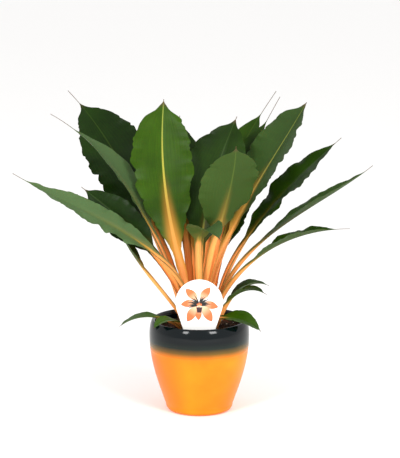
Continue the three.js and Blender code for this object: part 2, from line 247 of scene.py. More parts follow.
# %% Light and floor
AIM_HEIGHT = 0.2
SWEEP_STRENGTH = 0.96
FLOOR_SIZE = 40
FLOOR_DROP = 0.5 * MM
SOFTBOXES = {
    "left softbox": dict(place=(-1.15, -1.75, 1.25), size=(0.45, 0.85), power=24),
    "right softbox": dict(place=(1.15, -1.75, 1.25), size=(0.6, 0.85), power=31),
}


def softbox(name, place, size, power):
    data = bpy.data.lights.new(name, "AREA")
    data.shape = "RECTANGLE"
    data.size, data.size_y = size
    data.energy = power
    lamp = bpy.data.objects.new(name, data)
    lamp.location = place
    lamp.rotation_euler = (
        math.atan2(math.hypot(place[0], place[1]), place[2] - AIM_HEIGHT),
        0,
        math.atan2(place[1], place[0]) + math.pi / 2,
    )
    bpy.context.scene.collection.objects.link(lamp)


for name, box in SOFTBOXES.items():
    softbox(name, **box)

sky = bpy.data.worlds.new("white sweep")
sky.use_nodes = True
sky.node_tree.nodes["Background"].inputs["Color"].default_value = linear("FFFFFF")
sky.node_tree.nodes["Background"].inputs["Strength"].default_value = SWEEP_STRENGTH
bpy.context.scene.world = sky
bpy.context.scene.view_settings.view_transform = "Standard"

paper, tree = new_material("matt background paper")
shade = add(tree, "ShaderNodeBsdfPrincipled",
            {"Base Color": linear("FEFDFC"), "Roughness": 0.9, "Specular IOR Level": 0.1})
finish_material(tree, shade)
bpy.ops.mesh.primitive_plane_add(size=FLOOR_SIZE, location=(0, 0, -FLOOR_DROP))
floor = bpy.context.object
floor.name = "floor"
floor.data.materials.append(paper)
print("camera, two softboxes and floor are in place")

# %% [markdown]
# ## The pot
# A cover pot is slip-cast stoneware: one round body with an even wall, a rounded foot and a lip
# that rolls inwards. It could be a lathe object or a spun curve. Here a Geometry Nodes tree
# turns any outline about the axis, because the soil needs the same turning with another outline.
# Each outline point carries its radius and height, so the tree only has to place them round.
# A third value, `loose`, lets soil and crown heave up and down by a noise, and a glazed wall not.

# %% A tree that turns an outline about the axis
TURN_SIDES = 144


def marked_ring(tree, sides):
    """A circle whose points carry `turn`, their share of the way round."""
    ring = add(tree, "GeometryNodeCurvePrimitiveCircle", {"Resolution": sides})
    share = add(tree, "GeometryNodeSplineParameter")
    return add(tree, "GeometryNodeStoreNamedAttribute",
               {"Geometry": ring, "Name": "turn", "Value": share.outputs["Factor"]},
               data_type="FLOAT", domain="POINT")


def read_fields(tree, numbers, vectors=()):
    kinds = {name: "FLOAT" for name in numbers} | {name: "FLOAT_VECTOR" for name in vectors}
    return {name: add(tree, "GeometryNodeInputNamedAttribute", {"Name": name}, data_type=kind)
            for name, kind in kinds.items()}


def turning_tree():
    tree, given = new_tree("turned body", {
        "Sides": "Int", "Heave": "Float", "Lumps Per Metre": "Float", "Material": "Material"})
    outline = add(tree, "GeometryNodeMeshToCurve", {"Mesh": given["Geometry"]})
    circle = marked_ring(tree, given["Sides"])
    skin = add(tree, "GeometryNodeCurveToMesh", {"Curve": circle, "Profile Curve": outline})
    fields = read_fields(tree, ("turn", "far_out", "height", "loose"))
    angle = add(tree, "ShaderNodeMath", {0: fields["turn"], 1: math.tau}, operation="MULTIPLY")
    cosine = add(tree, "ShaderNodeMath", {0: angle}, operation="COSINE")
    sine = add(tree, "ShaderNodeMath", {0: angle}, operation="SINE")
    x = add(tree, "ShaderNodeMath", {0: cosine, 1: fields["far_out"]}, operation="MULTIPLY")
    y = add(tree, "ShaderNodeMath", {0: sine, 1: fields["far_out"]}, operation="MULTIPLY")
    place = add(tree, "ShaderNodeCombineXYZ", {"X": x, "Y": y, "Z": fields["height"]})
    lumps = add(tree, "ShaderNodeTexNoise", {
        "Vector": place, "Scale": given["Lumps Per Metre"], "Detail": 3})
    lump = add(tree, "ShaderNodeMapRange", {0: lumps.outputs[0], 1: 0.3, 2: 0.7, 3: -1, 4: 1})
    heave = add(tree, "ShaderNodeMath", {0: lump, 1: given["Heave"]}, operation="MULTIPLY")
    lift = add(tree, "ShaderNodeMath", {0: heave, 1: fields["loose"]}, operation="MULTIPLY")
    offset = add(tree, "ShaderNodeCombineXYZ", {"Z": lift})
    turned = add(tree, "GeometryNodeSetPosition",
                 {"Geometry": skin, "Position": place, "Offset": offset})
    end_tree(tree, turned, given["Material"])
    return tree


def turn_body(name, outline, material, tree, heave=0.0, lump_size=10 * MM):
    """outline: rows of radius, height and, where the surface is loose, how loose it is."""
    points = np.array(outline)
    loose = points[:, 2] if points.shape[1] > 2 else np.zeros(len(points))
    line = polyline(name + " outline", np.c_[points[:, 0], 0 * points[:, 0], points[:, 1]],
                    far_out=points[:, 0], height=points[:, 1], loose=loose)
    piece = bake(name, line, tree, {
        "Sides": TURN_SIDES, "Heave": heave, "Lumps Per Metre": 1 / lump_size,
        "Material": material})
    open_edges = close_and_orient(piece)
    print(name, len(piece.data.polygons), "faces,", open_edges, "open edges")
    return piece


turning = turning_tree()


# %% [markdown]
# The outline follows the part's own rule: a foot with a rounded edge, a side that swells like
# a quarter of a wave, an elliptical shoulder, a rolled lip, and an inside that keeps the wall.

# %% The pot's outline
def outer_radius(z):
    low = FOOT_RADIUS + FOOT_FLARE
    rise = np.clip((z - FOOT_ROUND) / (WIDEST_LEVEL - FOOT_ROUND), 0, 1)
    return low + (POT_RADIUS - low) * np.sin(rise * math.pi / 2)


def inner_radius(z):
    wide = outer_radius(np.minimum(z, UNDERCUT_LEVEL)) - POT_WALL
    rise = np.clip((z - UNDERCUT_LEVEL) / (MOUTH_LEVEL - UNDERCUT_LEVEL), 0, 1)
    return MOUTH_RADIUS + (wide - MOUTH_RADIUS) * (1 + np.cos(rise * math.pi)) / 2


def pot_outline():
    turn = np.linspace(0, math.pi / 2, 13)
    foot = np.c_[FOOT_RADIUS + FOOT_FLARE * np.sin(turn), FOOT_ROUND * (1 - np.cos(turn))]
    side = np.linspace(FOOT_ROUND, WIDEST_LEVEL, 36)[1:]
    shoulder = np.c_[CREST_RADIUS + SHOULDER_INSET * np.cos(turn),
                     WIDEST_LEVEL + SHOULDER_HEIGHT * np.sin(turn)][1:]
    lip = np.c_[CREST_RADIUS - LIP_INSET * np.sin(turn), MOUTH_LEVEL + LIP_HEIGHT * np.cos(turn)][1:]
    under = np.linspace(MOUTH_LEVEL, POT_FLOOR + FOOT_ROUND, 40)[1:]
    floor_radius = FOOT_RADIUS - POT_WALL
    return np.vstack([
        [[0, 0], [FOOT_RADIUS * 0.5, 0]], foot, np.c_[outer_radius(side), side], shoulder, lip,
        np.c_[inner_radius(under), under], [[floor_radius, POT_FLOOR], [0, POT_FLOOR]],
    ])


# %% [markdown]
# The glaze is a two-colour reactive stoneware glaze: a glossy blue-black one, thick over the
# shoulder, breaks through olive brown into a satin orange one below. Glaze is glass, so it
# keeps an IOR near 1.5, and what changes between the two bands is how smooth the glass is. The
# specular level is set below glass's own, or the even white sweep would grey the dark band.
# The break between them wanders by less than a millimetre either way, as glaze does when it
# runs. To the eye this gives a wet dark band with bright windows in it, and a soft orange below.

# %% Glaze
BREAK_LEVEL = 94.5 * MM
BREAK_SOFTNESS = 15 * MM
RUN_SIZE = 22 * MM
CLOUD_SIZE = 55 * MM
PEEL_SIZE = 4 * MM
RUN_DEPTH = 0.8 * MM
PEEL_DEPTH = 0.4 * MM
# how strongly painted shade deepens the orange on the pot's left side
LEFT_SHADE_SHARE = 0.75


def reactive_glaze():
    material, tree = new_material("reactive stoneware glaze")
    where = add(tree, "ShaderNodeTexCoord").outputs["Object"]
    spot = add(tree, "ShaderNodeSeparateXYZ", {0: where})
    height = spot.outputs["Z"]
    wander = add(tree, "ShaderNodeTexNoise", {"Vector": where, "Scale": 1 / RUN_SIZE, "Detail": 4})
    shift = add(tree, "ShaderNodeMapRange", {0: wander.outputs["Fac"], 3: -RUN_DEPTH, 4: RUN_DEPTH})
    level = add(tree, "ShaderNodeMath", {0: height, 1: shift}, operation="ADD")
    share = add(tree, "ShaderNodeMapRange", {
        0: level, 1: BREAK_LEVEL - BREAK_SOFTNESS, 2: BREAK_LEVEL + BREAK_SOFTNESS})
    ramp = add(tree, "ShaderNodeValToRGB", {0: share})
    set_stops(ramp, {0.0: "F98A06", 0.22: "E8820E", 0.5: "6E541A", 0.74: "16231C", 1.0: "010A0E"})
    clouds = add(tree, "ShaderNodeTexNoise", {"Vector": where, "Scale": 1 / CLOUD_SIZE, "Detail": 3})
    cloudy = add(tree, "ShaderNodeMix", {
        0: add(tree, "ShaderNodeMapRange", {0: clouds.outputs["Fac"], 1: 0.35, 2: 0.7, 4: 0.3}),
        6: ramp.outputs["Color"], 7: linear("F2780A")}, data_type="RGBA", blend_type="MULTIPLY")
    # painted shade: the orange band deepens to a redder orange on the left side, where less light
    # falls
    left_side_shade = add(tree, "ShaderNodeMapRange", {0: spot.outputs["X"], 1: -0.2 * POT_RADIUS,
                                             2: -POT_RADIUS, 4: LEFT_SHADE_SHARE})
    shade_on_orange = add(tree, "ShaderNodeMapRange", {0: share, 1: 0.3, 2: 0.0, 4: left_side_shade})
    left_shaded_glaze = add(tree, "ShaderNodeMix", {0: shade_on_orange, 6: cloudy.outputs[2], 7: linear("EC620A")},
                  data_type="RGBA")
    rough = add(tree, "ShaderNodeMapRange", {0: share, 3: 0.34, 4: 0.1})
    skin = add(tree, "ShaderNodeTexNoise", {"Vector": where, "Scale": 1 / PEEL_SIZE, "Detail": 2})
    bump = add(tree, "ShaderNodeBump", {"Height": skin.outputs["Fac"], "Strength": 0.05,
                                        "Distance": PEEL_DEPTH})
    shade = add(tree, "ShaderNodeBsdfPrincipled", {
        "Base Color": left_shaded_glaze.outputs[2], "Roughness": rough, "IOR": 1.5,
        "Specular IOR Level": 0.26, "Normal": bump})
    finish_material(tree, shade)
    return material


# %% [markdown]
# A cover pot for a live plant has holes in its foot for spare water. The body is turned whole,
# and each hole is then cut with a boolean, as a potter cuts it through the soft clay.

# %% Turn the pot and drill its drain holes
def drill(piece, radius, places):
    for x, y in places:
        bpy.ops.mesh.primitive_cylinder_add(vertices=32, radius=radius, depth=3 * POT_FLOOR,
                                            location=(x, y, 0))
        bit = bpy.context.object
        cut = piece.modifiers.new("drill", "BOOLEAN")
        cut.operation, cut.object, cut.solver = "DIFFERENCE", bit, "EXACT"
        graph = bpy.context.evaluated_depsgraph_get()
        mesh = bpy.data.meshes.new_from_object(piece.evaluated_get(graph))
        piece.modifiers.clear()
        piece.data = mesh
        bpy.data.objects.remove(bit)


pot = turn_body("turned_pot", pot_outline(), reactive_glaze(), turning)
turns = [math.tau * (hole + 0.25) / DRAIN_HOLES for hole in range(DRAIN_HOLES)]
drill(pot, DRAIN_RADIUS, [(DRAIN_CIRCLE * math.cos(a), DRAIN_CIRCLE * math.sin(a)) for a in turns])
open_edges = close_and_orient(pot)
settle(pot, "glazed_pot", slot="glazed_pot")
print("drilled pot:", len(pot.data.polygons), "faces,", open_edges, "open edges")

# %% [markdown]
# ## The potting soil
# Potting soil is peat and bark, dark because it is damp, with paler bits of perlite in it. A
# flat brown disc would read as paint, so the body is turned with the same tree as the pot and
# heaved, and loose crumbs are scattered on top by a second tree. Its colour comes from two
# noises: a coarse one for damp and dry patches, and a fine one for single crumbs. Organic matter
# bends light less than glass, which the lowered specular level stands for, and it has no gloss,
# so the eye gets a dull dark bed with a few pale specks.

# %% Peat, bark and perlite
DAMP_PATCH = 17 * MM


def damp_peat(name, dark, light, grain):
    material, tree = new_material(name)
    where = add(tree, "ShaderNodeTexCoord").outputs["Object"]
    patches = add(tree, "ShaderNodeTexNoise", {"Vector": where, "Scale": 1 / DAMP_PATCH, "Detail": 4})
    grains = add(tree, "ShaderNodeTexNoise", {"Vector": where, "Scale": 1 / grain, "Detail": 4})
    both = add(tree, "ShaderNodeMath",
               {0: patches.outputs["Fac"], 1: grains.outputs["Fac"]}, operation="MULTIPLY")
    share = add(tree, "ShaderNodeMapRange", {0: both, 1: 0.15, 2: 0.38})
    colour = add(tree, "ShaderNodeMix", {0: share, 6: linear(dark), 7: linear(light)},
                 data_type="RGBA")
    bump = add(tree, "ShaderNodeBump", {"Height": grains.outputs["Fac"], "Strength": 0.7,
                                        "Distance": grain * 0.4})
    shade = add(tree, "ShaderNodeBsdfPrincipled", {
        "Base Color": colour.outputs[2], "Roughness": 0.88, "Specular IOR Level": 0.3,
        "Normal": bump})
    finish_material(tree, shade)
    return material


peat = damp_peat("damp peat", "1A110B", "4A3222", 2.2 * MM)
bark = damp_peat("composted pine bark", "47200F", "8A4A26", 1.5 * MM)
perlite = damp_peat("expanded perlite", "A89C8A", "EEE8DA", 1.0 * MM)


# %% [markdown]
# The soil fills the pot to a little below the rim. Its outline follows the inside of the wall
# with a small gap, and the top is loose, so that it heaves most away from the wall.

# %% Turn the soil
SOIL_WALL_GAP = 0.5 * MM
SOIL_EDGE = 1 * MM
LOOSE_FROM = 4 * MM
SOIL_HEAVE = 1.8 * MM
SOIL_LUMP = 13 * MM


def soil_outline():
    base = POT_FLOOR + GAP
    floor_radius = FOOT_RADIUS - POT_WALL - 2 * GAP
    up = np.linspace(POT_FLOOR + FOOT_ROUND, SOIL_LEVEL - SOIL_EDGE, 24)
    wall = inner_radius(up) - GAP
    top = np.linspace(wall[-1] - SOIL_WALL_GAP, 0, 44)
    heaved = np.clip((wall[-1] - top) / LOOSE_FROM, 0.15, 1)
    return np.vstack([
        [[0, base, 0], [floor_radius, base, 0]], np.c_[wall, up, 0 * up],
        np.c_[top, 0 * top + SOIL_LEVEL, heaved],
    ])


soil = turn_body("heaped_soil", soil_outline(), peat, turning, SOIL_HEAVE, SOIL_LUMP)
settle(soil, "potting_soil", slot="potting_soil")

# %% [markdown]
# Crumbs repeat by the thousand, so each is a lumpy twenty-faced ball, and one tree scatters
# them all. Size, shape and number are inputs: a round crumb of peat, a long sliver of bark and
# a pale grain of perlite differ only in those and in their material.

# %% A tree that scatters crumbs on the soil
CRUMB_LUMPS_PER_METRE = 900  # a lump about every 1.1 mm


def scattering_tree():
    tree, given = new_tree("scattered crumbs", {
        "Number Per Square Metre": "Float", "Length": "Float", "Width": "Float",
        "Smallest Share": "Float", "Tilt": "Float", "Rim Radius": "Float", "Seed": "Int",
        "Material": "Material"})
    place = add(tree, "ShaderNodeSeparateXYZ", {0: add(tree, "GeometryNodeInputPosition")})
    radius = add(tree, "ShaderNodeVectorMath", {
        0: add(tree, "ShaderNodeCombineXYZ", {"X": place.outputs["X"], "Y": place.outputs["Y"]})},
        operation="LENGTH").outputs["Value"]
    high = add(tree, "ShaderNodeMath", {0: place.outputs["Z"], 1: SOIL_LEVEL - 3 * MM},
               operation="GREATER_THAN")
    inside = add(tree, "ShaderNodeMath", {0: radius, 1: given["Rim Radius"]},
                 operation="LESS_THAN")
    on_top = add(tree, "ShaderNodeMath", {0: high, 1: inside}, operation="MULTIPLY")
    spots = add(tree, "GeometryNodeDistributePointsOnFaces", {
        "Mesh": given["Geometry"], "Selection": on_top,
        "Density": given["Number Per Square Metre"], "Seed": given["Seed"]})
    ball = add(tree, "GeometryNodeMeshIcoSphere", {"Radius": 0.5, "Subdivisions": 1})
    size = add(tree, "ShaderNodeCombineXYZ",
               {"X": given["Length"], "Y": given["Width"], "Z": given["Width"]})
    crumb = add(tree, "GeometryNodeTransform", {"Geometry": ball, "Scale": size})
    spin = add(tree, "FunctionNodeRandomValue", {0: (-1, -1, -1), 1: (1, 1, 1),
                                                 "Seed": given["Seed"]}, data_type="FLOAT_VECTOR")
    tilt = add(tree, "ShaderNodeCombineXYZ",
               {"X": given["Tilt"], "Y": given["Tilt"], "Z": math.pi})
    turned = add(tree, "ShaderNodeVectorMath", {0: spin, 1: tilt}, operation="MULTIPLY")
    share = add(tree, "FunctionNodeRandomValue", {2: given["Smallest Share"], 3: 1.0,
                                                  "Seed": given["Seed"]}, data_type="FLOAT")
    laid = add(tree, "GeometryNodeInstanceOnPoints", {
        "Points": spots.outputs["Points"], "Instance": crumb, "Rotation": turned,
        "Scale": share.outputs[1]})
    loose = add(tree, "GeometryNodeRealizeInstances", {"Geometry": laid})
    jitter = add(tree, "ShaderNodeTexNoise", {
        "Vector": add(tree, "GeometryNodeInputPosition"), "Scale": CRUMB_LUMPS_PER_METRE,
        "Detail": 0})
    centred = add(tree, "ShaderNodeVectorMath", {0: jitter.outputs["Color"], 1: (0.5, 0.5, 0.5)},
                  operation="SUBTRACT")
    shove = add(tree, "ShaderNodeVectorMath", {0: centred, "Scale": given["Width"]},
                operation="SCALE")
    lumpy = add(tree, "GeometryNodeSetPosition", {"Geometry": loose, "Offset": shove})
    end_tree(tree, lumpy, given["Material"])
    return tree


# %% [markdown]
# The same tree runs three times on a copy of the soil. Peat crumbs are many and turn any way,
# bark slivers lie nearly flat, and perlite is rare, as in a bag of potting mix.

# %% Scatter peat, bark and perlite
scattering = scattering_tree()
FULL_TILT = math.pi
LYING = 0.35
RIM_CLEARANCE = 4 * MM
CRUMBS = {
    "peat_crumbs": (230000, 3.4 * MM, 2.6 * MM, 0.4, FULL_TILT, peat),
    "bark_slivers": (17000, 9 * MM, 1.9 * MM, 0.35, LYING, bark),
    "perlite_grains": (5200, 3.0 * MM, 2.4 * MM, 0.45, FULL_TILT, perlite),
}
rim = inner_radius(np.array([SOIL_LEVEL]))[0] - RIM_CLEARANCE
for number, (name, (density, length, width, least, tilt, stuff)) in enumerate(CRUMBS.items()):
    crumbs = bake(name, soil.data.copy(), scattering, {
        "Number Per Square Metre": density, "Length": length, "Width": width,
        "Smallest Share": least, "Tilt": tilt, "Rim Radius": rim, "Seed": SEED + number,
        "Material": stuff})
    crumbs.data.materials.clear()
    crumbs.data.materials.append(stuff)
    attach(crumbs, ROOT_BODY)
    print(name, len(crumbs.data.polygons), "faces")

# %% [markdown]
# ## The leaves
# Each leaf is one blade and one stalk, and all of them follow one rule, so one tree grows them
# all. A midrib is walked out from the crown, and every station on it carries its own up and
# side directions, half width, fold and rib. The tree sweeps a closed ring along the midrib and
# flattens it into a thin folded section with a keel below, a groove above and frilled margins.
# The growth values are the ones that the part itself uses. The looks follow them: `frill` is
# how far the margin waves, in millimetres, `thread` is the share of the leaf that has drawn
# out into a dry thread, `tone` runs from old dark leaf (0) to young bright leaf (1), `warmth`
# is how strongly the orange runs up the midrib, and the last is a painted sheen: a grey veil
# in the upper face's colour that stands for a grazing reflection. What a leaf doesn't give for
# itself comes from the plant's habit.

# %% Growth of each leaf
OVER_RIM = POT_RADIUS / MM

HABIT = dict(widest=0.5, taper=1, roll=(0, 0, 0), bloom=0.0)
LEAVES = {
    "leaf_tall_centre": dict(
        seat=(-0.19, 0.11), length=322, width=88, stalk=0.25, widest=0.66, taper=0.8, fold=10,
        pitch=(75, 75, 81), heading=(160, 132, 60), roll=(-20, -40, 25),
        frill=3.0, thread=0.012, tone=1.0, warmth=1.0),
    "leaf_broad_back_left": dict(
        seat=(-0.48, 0.41), length=404, width=92, stalk=0.34, widest=0.54, taper=0.95, fold=14,
        pitch=(78, 48, 37), heading=(172, 130, 145), roll=(0, -28, -24),
        frill=3.0, thread=0.07, tone=0.06, warmth=0.08),
    "leaf_upright_left": dict(
        seat=(-0.70, 0.19), length=366, width=54, stalk=0.36, taper=1.4, fold=24,
        pitch=(76, 57, 26), heading=(180, 156, 168),
        frill=2.5, thread=0.1, tone=0.2, warmth=0.08, bloom=0.6),
    "leaf_long_left": dict(
        seat=(-0.19, -0.48), length=354, width=48, stalk=0.34, widest=0.4, taper=1.3, fold=10,
        pitch=(86, 32, 31), heading=(220, 176, 178), roll=(0, -22, -14),
        frill=4.5, thread=0.04, tone=0.3, warmth=0.1, bloom=0.8),
    "leaf_short_left": dict(
        seat=(-0.74, -0.22), length=254, width=52, stalk=0.46, fold=14,
        pitch=(88, 49, 38), heading=(178, 170, 176), roll=(0, -62, -62),
        frill=4.5, thread=0.02, tone=0.03, warmth=0.05),
    "leaf_under_left": dict(
        seat=(-0.52, -0.41), length=176, width=30, stalk=0.6, taper=1.1, fold=18,
        pitch=(62, 52, 66), heading=(202, 186, 172),
        frill=2.0, thread=0.03, tone=0.2, warmth=0.3),
    "leaf_broad_middle": dict(
        seat=(-0.04, 0.37), length=302, width=92, stalk=0.34, widest=0.56, fold=12,
        pitch=(88, 74, 55), heading=(105, 50, 48), roll=(0, 30, 26),
        frill=3.0, thread=0.015, tone=0.2, warmth=0.05),
    "leaf_front_leaning": dict(
        seat=(0.19, -0.19), length=304, width=84, stalk=0.45, widest=0.54, fold=12,
        pitch=(90, 64, 54), heading=(-48, -60, -90),
        frill=2.5, thread=0.015, tone=0.2, warmth=0.3, bloom=0.25),
    "leaf_large_right": dict(
        seat=(0.37, 0.04), length=347, width=90, stalk=0.34, widest=0.62, taper=0.85, fold=18,
        pitch=(85, 60, 58), heading=(34, 21, 21), roll=(0, 10, 8),
        frill=3.5, thread=0.004, tone=0.42, warmth=0.7, bloom=0.2),
    "leaf_back_right_high": dict(
        seat=(0.22, 0.59), length=376, width=60, stalk=0.38, taper=1.3, fold=16,
        pitch=(82, 53, 43), heading=(90, 60, 44), roll=(0, 20, 10),
        frill=3.0, thread=0.11, tone=0.55, warmth=0.15),
    "leaf_back_right_inner": dict(
        seat=(0.44, 0.33), length=348, width=52, stalk=0.4, taper=1.3, fold=22,
        pitch=(84, 61, 52), heading=(68, 49, 38), roll=(0, 10, 10),
        frill=3.0, thread=0.11, tone=0.4, warmth=0.2),
    "leaf_wavy_right": dict(
        seat=(0.63, 0.11), length=328, width=62, stalk=0.36, widest=0.52, taper=1.2, fold=12,
        pitch=(80, 53, 38), heading=(18, 6, 18), roll=(0, 12, 10),
        frill=4.5, thread=0.03, tone=0.28, warmth=0.1),
    "leaf_long_right": dict(
        seat=(0.70, -0.15), length=332, width=38, stalk=0.38, taper=1.2, fold=24,
        pitch=(86, 39, 38), heading=(5, -6, 8),
        frill=2.5, thread=0.03, tone=0.2, warmth=0.15, bloom=0.2),
    "leaf_level_right": dict(
        seat=(0.56, -0.37), length=266, width=42, stalk=0.4, taper=1.2, fold=20,
        pitch=(77, 37, 1), heading=(-6, -14, -8),
        frill=4.0, thread=0.07, tone=0.3, warmth=0.1),
    "leaf_low_right_upper": dict(
        seat=(0.81, -0.33), length=112, width=32, stalk=0.4, fold=18,
        pitch=(66, 49, -30), heading=(0, 0, 8),
        frill=2.2, thread=0.03, tone=0.25, warmth=0.05),
    "leaf_low_right_lower": dict(
        seat=(0.63, -0.63), length=118, width=28, stalk=0.4, fold=18,
        pitch=(64, 45, -34), heading=(-24, -27, -16),
        frill=2.2, thread=0.03, tone=0.2, warmth=0.05),
    "leaf_over_rim_right": dict(
        seat=(0.33, -0.70), length=OVER_RIM + 28, width=38, stalk=0.36, fold=14,
        pitch=(66, 1, -44), heading=(-54, -16, -2), roll=(0, 12, 12),
        frill=1.6, thread=0.015, tone=1.1, warmth=0.0),
    "leaf_over_rim_left": dict(
        seat=(-0.81, -0.41), length=OVER_RIM + 30, width=32, stalk=0.36, fold=14,
        pitch=(48, 3, -41), heading=(185, 178, 170),
        frill=1.6, thread=0.015, tone=1.0, warmth=0.0),
    "leaf_over_rim_front": dict(
        seat=(-0.44, -0.74), length=OVER_RIM + 2, width=28, stalk=0.36, fold=14,
        pitch=(52, 16, -48), heading=(225, 212, 206),
        frill=1.2, thread=0.015, tone=1.0, warmth=0.0),
    "leaf_young_folded": dict(
        seat=(0.04, -0.63), length=212, width=50, stalk=0.62, fold=24,
        pitch=(66, 77, -48), heading=(-100, -92, -40),
        frill=2.0, thread=0.01, tone=0.3, warmth=0.1, bloom=0.5),
    "leaf_back_tall_left": dict(
        seat=(-0.33, 0.67), length=320, width=74, stalk=0.36, taper=1.1, fold=14,
        pitch=(80, 62, 38), heading=(112, 100, 88),
        frill=4.0, thread=0.04, tone=0.2, warmth=0.3),
    "leaf_back_tall": dict(
        seat=(-0.07, 0.81), length=290, width=76, stalk=0.36, taper=1.1, fold=14,
        pitch=(74, 50, 24), heading=(104, 104, 102),
        frill=4.0, thread=0.03, tone=0.35, warmth=0.6),
    "leaf_back_tall_right": dict(
        seat=(0.52, 0.78), length=282, width=70, stalk=0.36, taper=1.1, fold=14,
        pitch=(68, 54, 30), heading=(70, 70, 70),
        frill=4.0, thread=0.04, tone=0.15, warmth=0.3),
    "leaf_over_rim_back": dict(
        seat=(0.11, 0.89), length=OVER_RIM + 60, width=36, stalk=0.4, fold=14,
        pitch=(58, 14, -38), heading=(88, 84, 90),
        frill=2.5, thread=0.03, tone=0.4, warmth=0.1),
}
LEAVES = {name: HABIT | leaf for name, leaf in LEAVES.items()}
print(len(LEAVES), "leaves to grow")

# %% [markdown]
# The midrib is a walk: at each step the leaf's pitch and heading give the next direction, and
# roll twists the section about it. Stalk and blade sizes are laid on the same stations, so
# the tree needs no knowledge of where the stalk ends.

# %% Walk out a midrib
STATIONS = 120
SEAT_DEPTH = 5 * MM
STALK_WIDTH = 15 * MM
STALK_BASE_WIDTH = 6 * MM
STALK_FOLD = 44
STALK_SPREAD = 0.25
SLIM_STALK = 0.32
NECK_BEFORE = 0.1
NECK_AFTER = 0.12
THREAD_WIDTH = 0.9 * MM
DRIP_TIP = 0.45
COOL_RIB = 1.7
WARM_RIB = 2.2
TIP_RIB = 0.5
STALK_RIB_SHARE = 0.78


def along(values, t):
    base, middle, tip = values
    return base * (1 - t) * (1 - 2 * t) + middle * 4 * t * (1 - t) + tip * t * (2 * t - 1)


def smooth(low, high, t):
    x = np.clip((t - low) / (high - low), 0, 1)
    return x * x * (3 - 2 * x)


def directions(leaf, t):
    pitch, heading, roll = (np.radians(along(leaf[k], t)) for k in ("pitch", "heading", "roll"))
    flat = np.c_[np.cos(heading), np.sin(heading)]
    forward = np.c_[flat * np.cos(pitch)[:, None], np.sin(pitch)]
    up = np.c_[-flat * np.sin(pitch)[:, None], np.cos(pitch)]
    side = np.cross(forward, up)
    turned = up * np.cos(roll)[:, None] + side * np.sin(roll)[:, None]
    return forward, turned, np.cross(forward, turned)


def half_width(leaf, t):
    stalk = STALK_BASE_WIDTH + (STALK_WIDTH - STALK_BASE_WIDTH) * np.clip(t / STALK_SPREAD, 0, 1)
    narrow = np.minimum(stalk, leaf["width"] * MM * SLIM_STALK) / 2
    s = np.clip((t - leaf["stalk"]) / (1 - leaf["thread"] - leaf["stalk"]), 0, 1)
    drip_tip = 1 - DRIP_TIP * smooth(0.9, 0.97, s)
    rise = leaf["taper"] * leaf["widest"] / (1 - leaf["widest"])
    swell = (s / leaf["widest"]) ** rise * ((1 - s) / (1 - leaf["widest"])) ** leaf["taper"]
    blade = np.maximum(leaf["width"] * MM / 2 * swell * drip_tip, narrow * (1 - s))
    return np.maximum(np.where(s > 0, blade, narrow), THREAD_WIDTH / 2)


def midrib(name, leaf):
    t = np.linspace(0, 1, STATIONS + 1)
    forward, up, side = directions(leaf, t)
    x, y = (share * CROWN_RADIUS for share in leaf["seat"])
    rise = CROWN_RISE * math.sqrt(1 - math.hypot(*leaf["seat"]) ** 2)
    step = leaf["length"] * MM / STATIONS
    start = np.array([[x, y, SOIL_LEVEL + rise - SEAT_DEPTH]])
    points = start + np.vstack([[0, 0, 0], np.cumsum(forward[:-1] * step, axis=0)])
    open_blade = smooth(leaf["stalk"] - NECK_BEFORE, leaf["stalk"] + NECK_AFTER, t)
    half = half_width(leaf, t)
    blade_share = np.clip((t - leaf["stalk"]) / (1 - leaf["stalk"]), 0, 1)
    fold = np.radians(STALK_FOLD + (leaf["fold"] - STALK_FOLD) * open_blade)
    strong = COOL_RIB + WARM_RIB * leaf["warmth"]
    rib_width = (strong + (TIP_RIB - strong) * blade_share ** 0.5) * MM
    stalk_rib = half * STALK_RIB_SHARE * (1 - open_blade) + rib_width * open_blade
    return polyline(
        name + " midrib", points, centre=points, up=up, side=side, half=half, fold=fold,
        along=t, blade=blade_share, opened=open_blade,
        rib=np.where(open_blade < 1, stalk_rib, rib_width),
        keel=(2.2 * (1 - open_blade) + (1.5 - 1.2 * blade_share) * open_blade) * MM,
        frill=leaf["frill"] * MM * np.sqrt(half / half.max()) * smooth(0, 0.3, blade_share)
        * smooth(0, 0.04, 1 - leaf["thread"] - t),
        tone=np.full_like(t, leaf["tone"]), warmth=np.full_like(t, leaf["warmth"]),
        bloom=np.full_like(t, leaf["bloom"]),
        dry=smooth(1 - leaf["thread"] - 0.03, 1 - leaf["thread"] * 0.6, t),
    )


# %% [markdown]
# The tree turns the swept ring into the section. Round the ring, the cosine says how far a
# point lies across the leaf and the sine says whether it belongs to the upper or lower face.
# The frill is a noise that runs along the margin and grows with the cube of the distance from
# the midrib, so the middle of the blade stays calm while its edge waves. A slower noise makes
# the blade billow between midrib and margin, and a quicker one bites small nicks out of the
# margin, as on a leaf that has rubbed against its neighbours.

# %% Parts of the tree that grows a leaf round its midrib
FRAME_VECTORS = ("centre", "up", "side")
LEAF_NUMBERS = ("half", "fold", "rib", "keel", "frill", "along", "turn")
VALLEY_ROUND = 1.5 * MM
SCALLOP_DEPTH = 0.09
BILLOWS_PER_WAVE = 0.55
NICKS_PER_WAVE = 3.4


def stand_off(tree, field, sideways, upwards):
    """The place that lies so far to the side of the centre line and so far above it."""
    side = add(tree, "ShaderNodeVectorMath", {0: field["side"], "Scale": sideways},
               operation="SCALE")
    up = add(tree, "ShaderNodeVectorMath", {0: field["up"], "Scale": upwards}, operation="SCALE")
    middle = add(tree, "ShaderNodeVectorMath", {0: field["centre"], 1: side}, operation="ADD")
    return add(tree, "ShaderNodeVectorMath", {0: middle, 1: up}, operation="ADD")


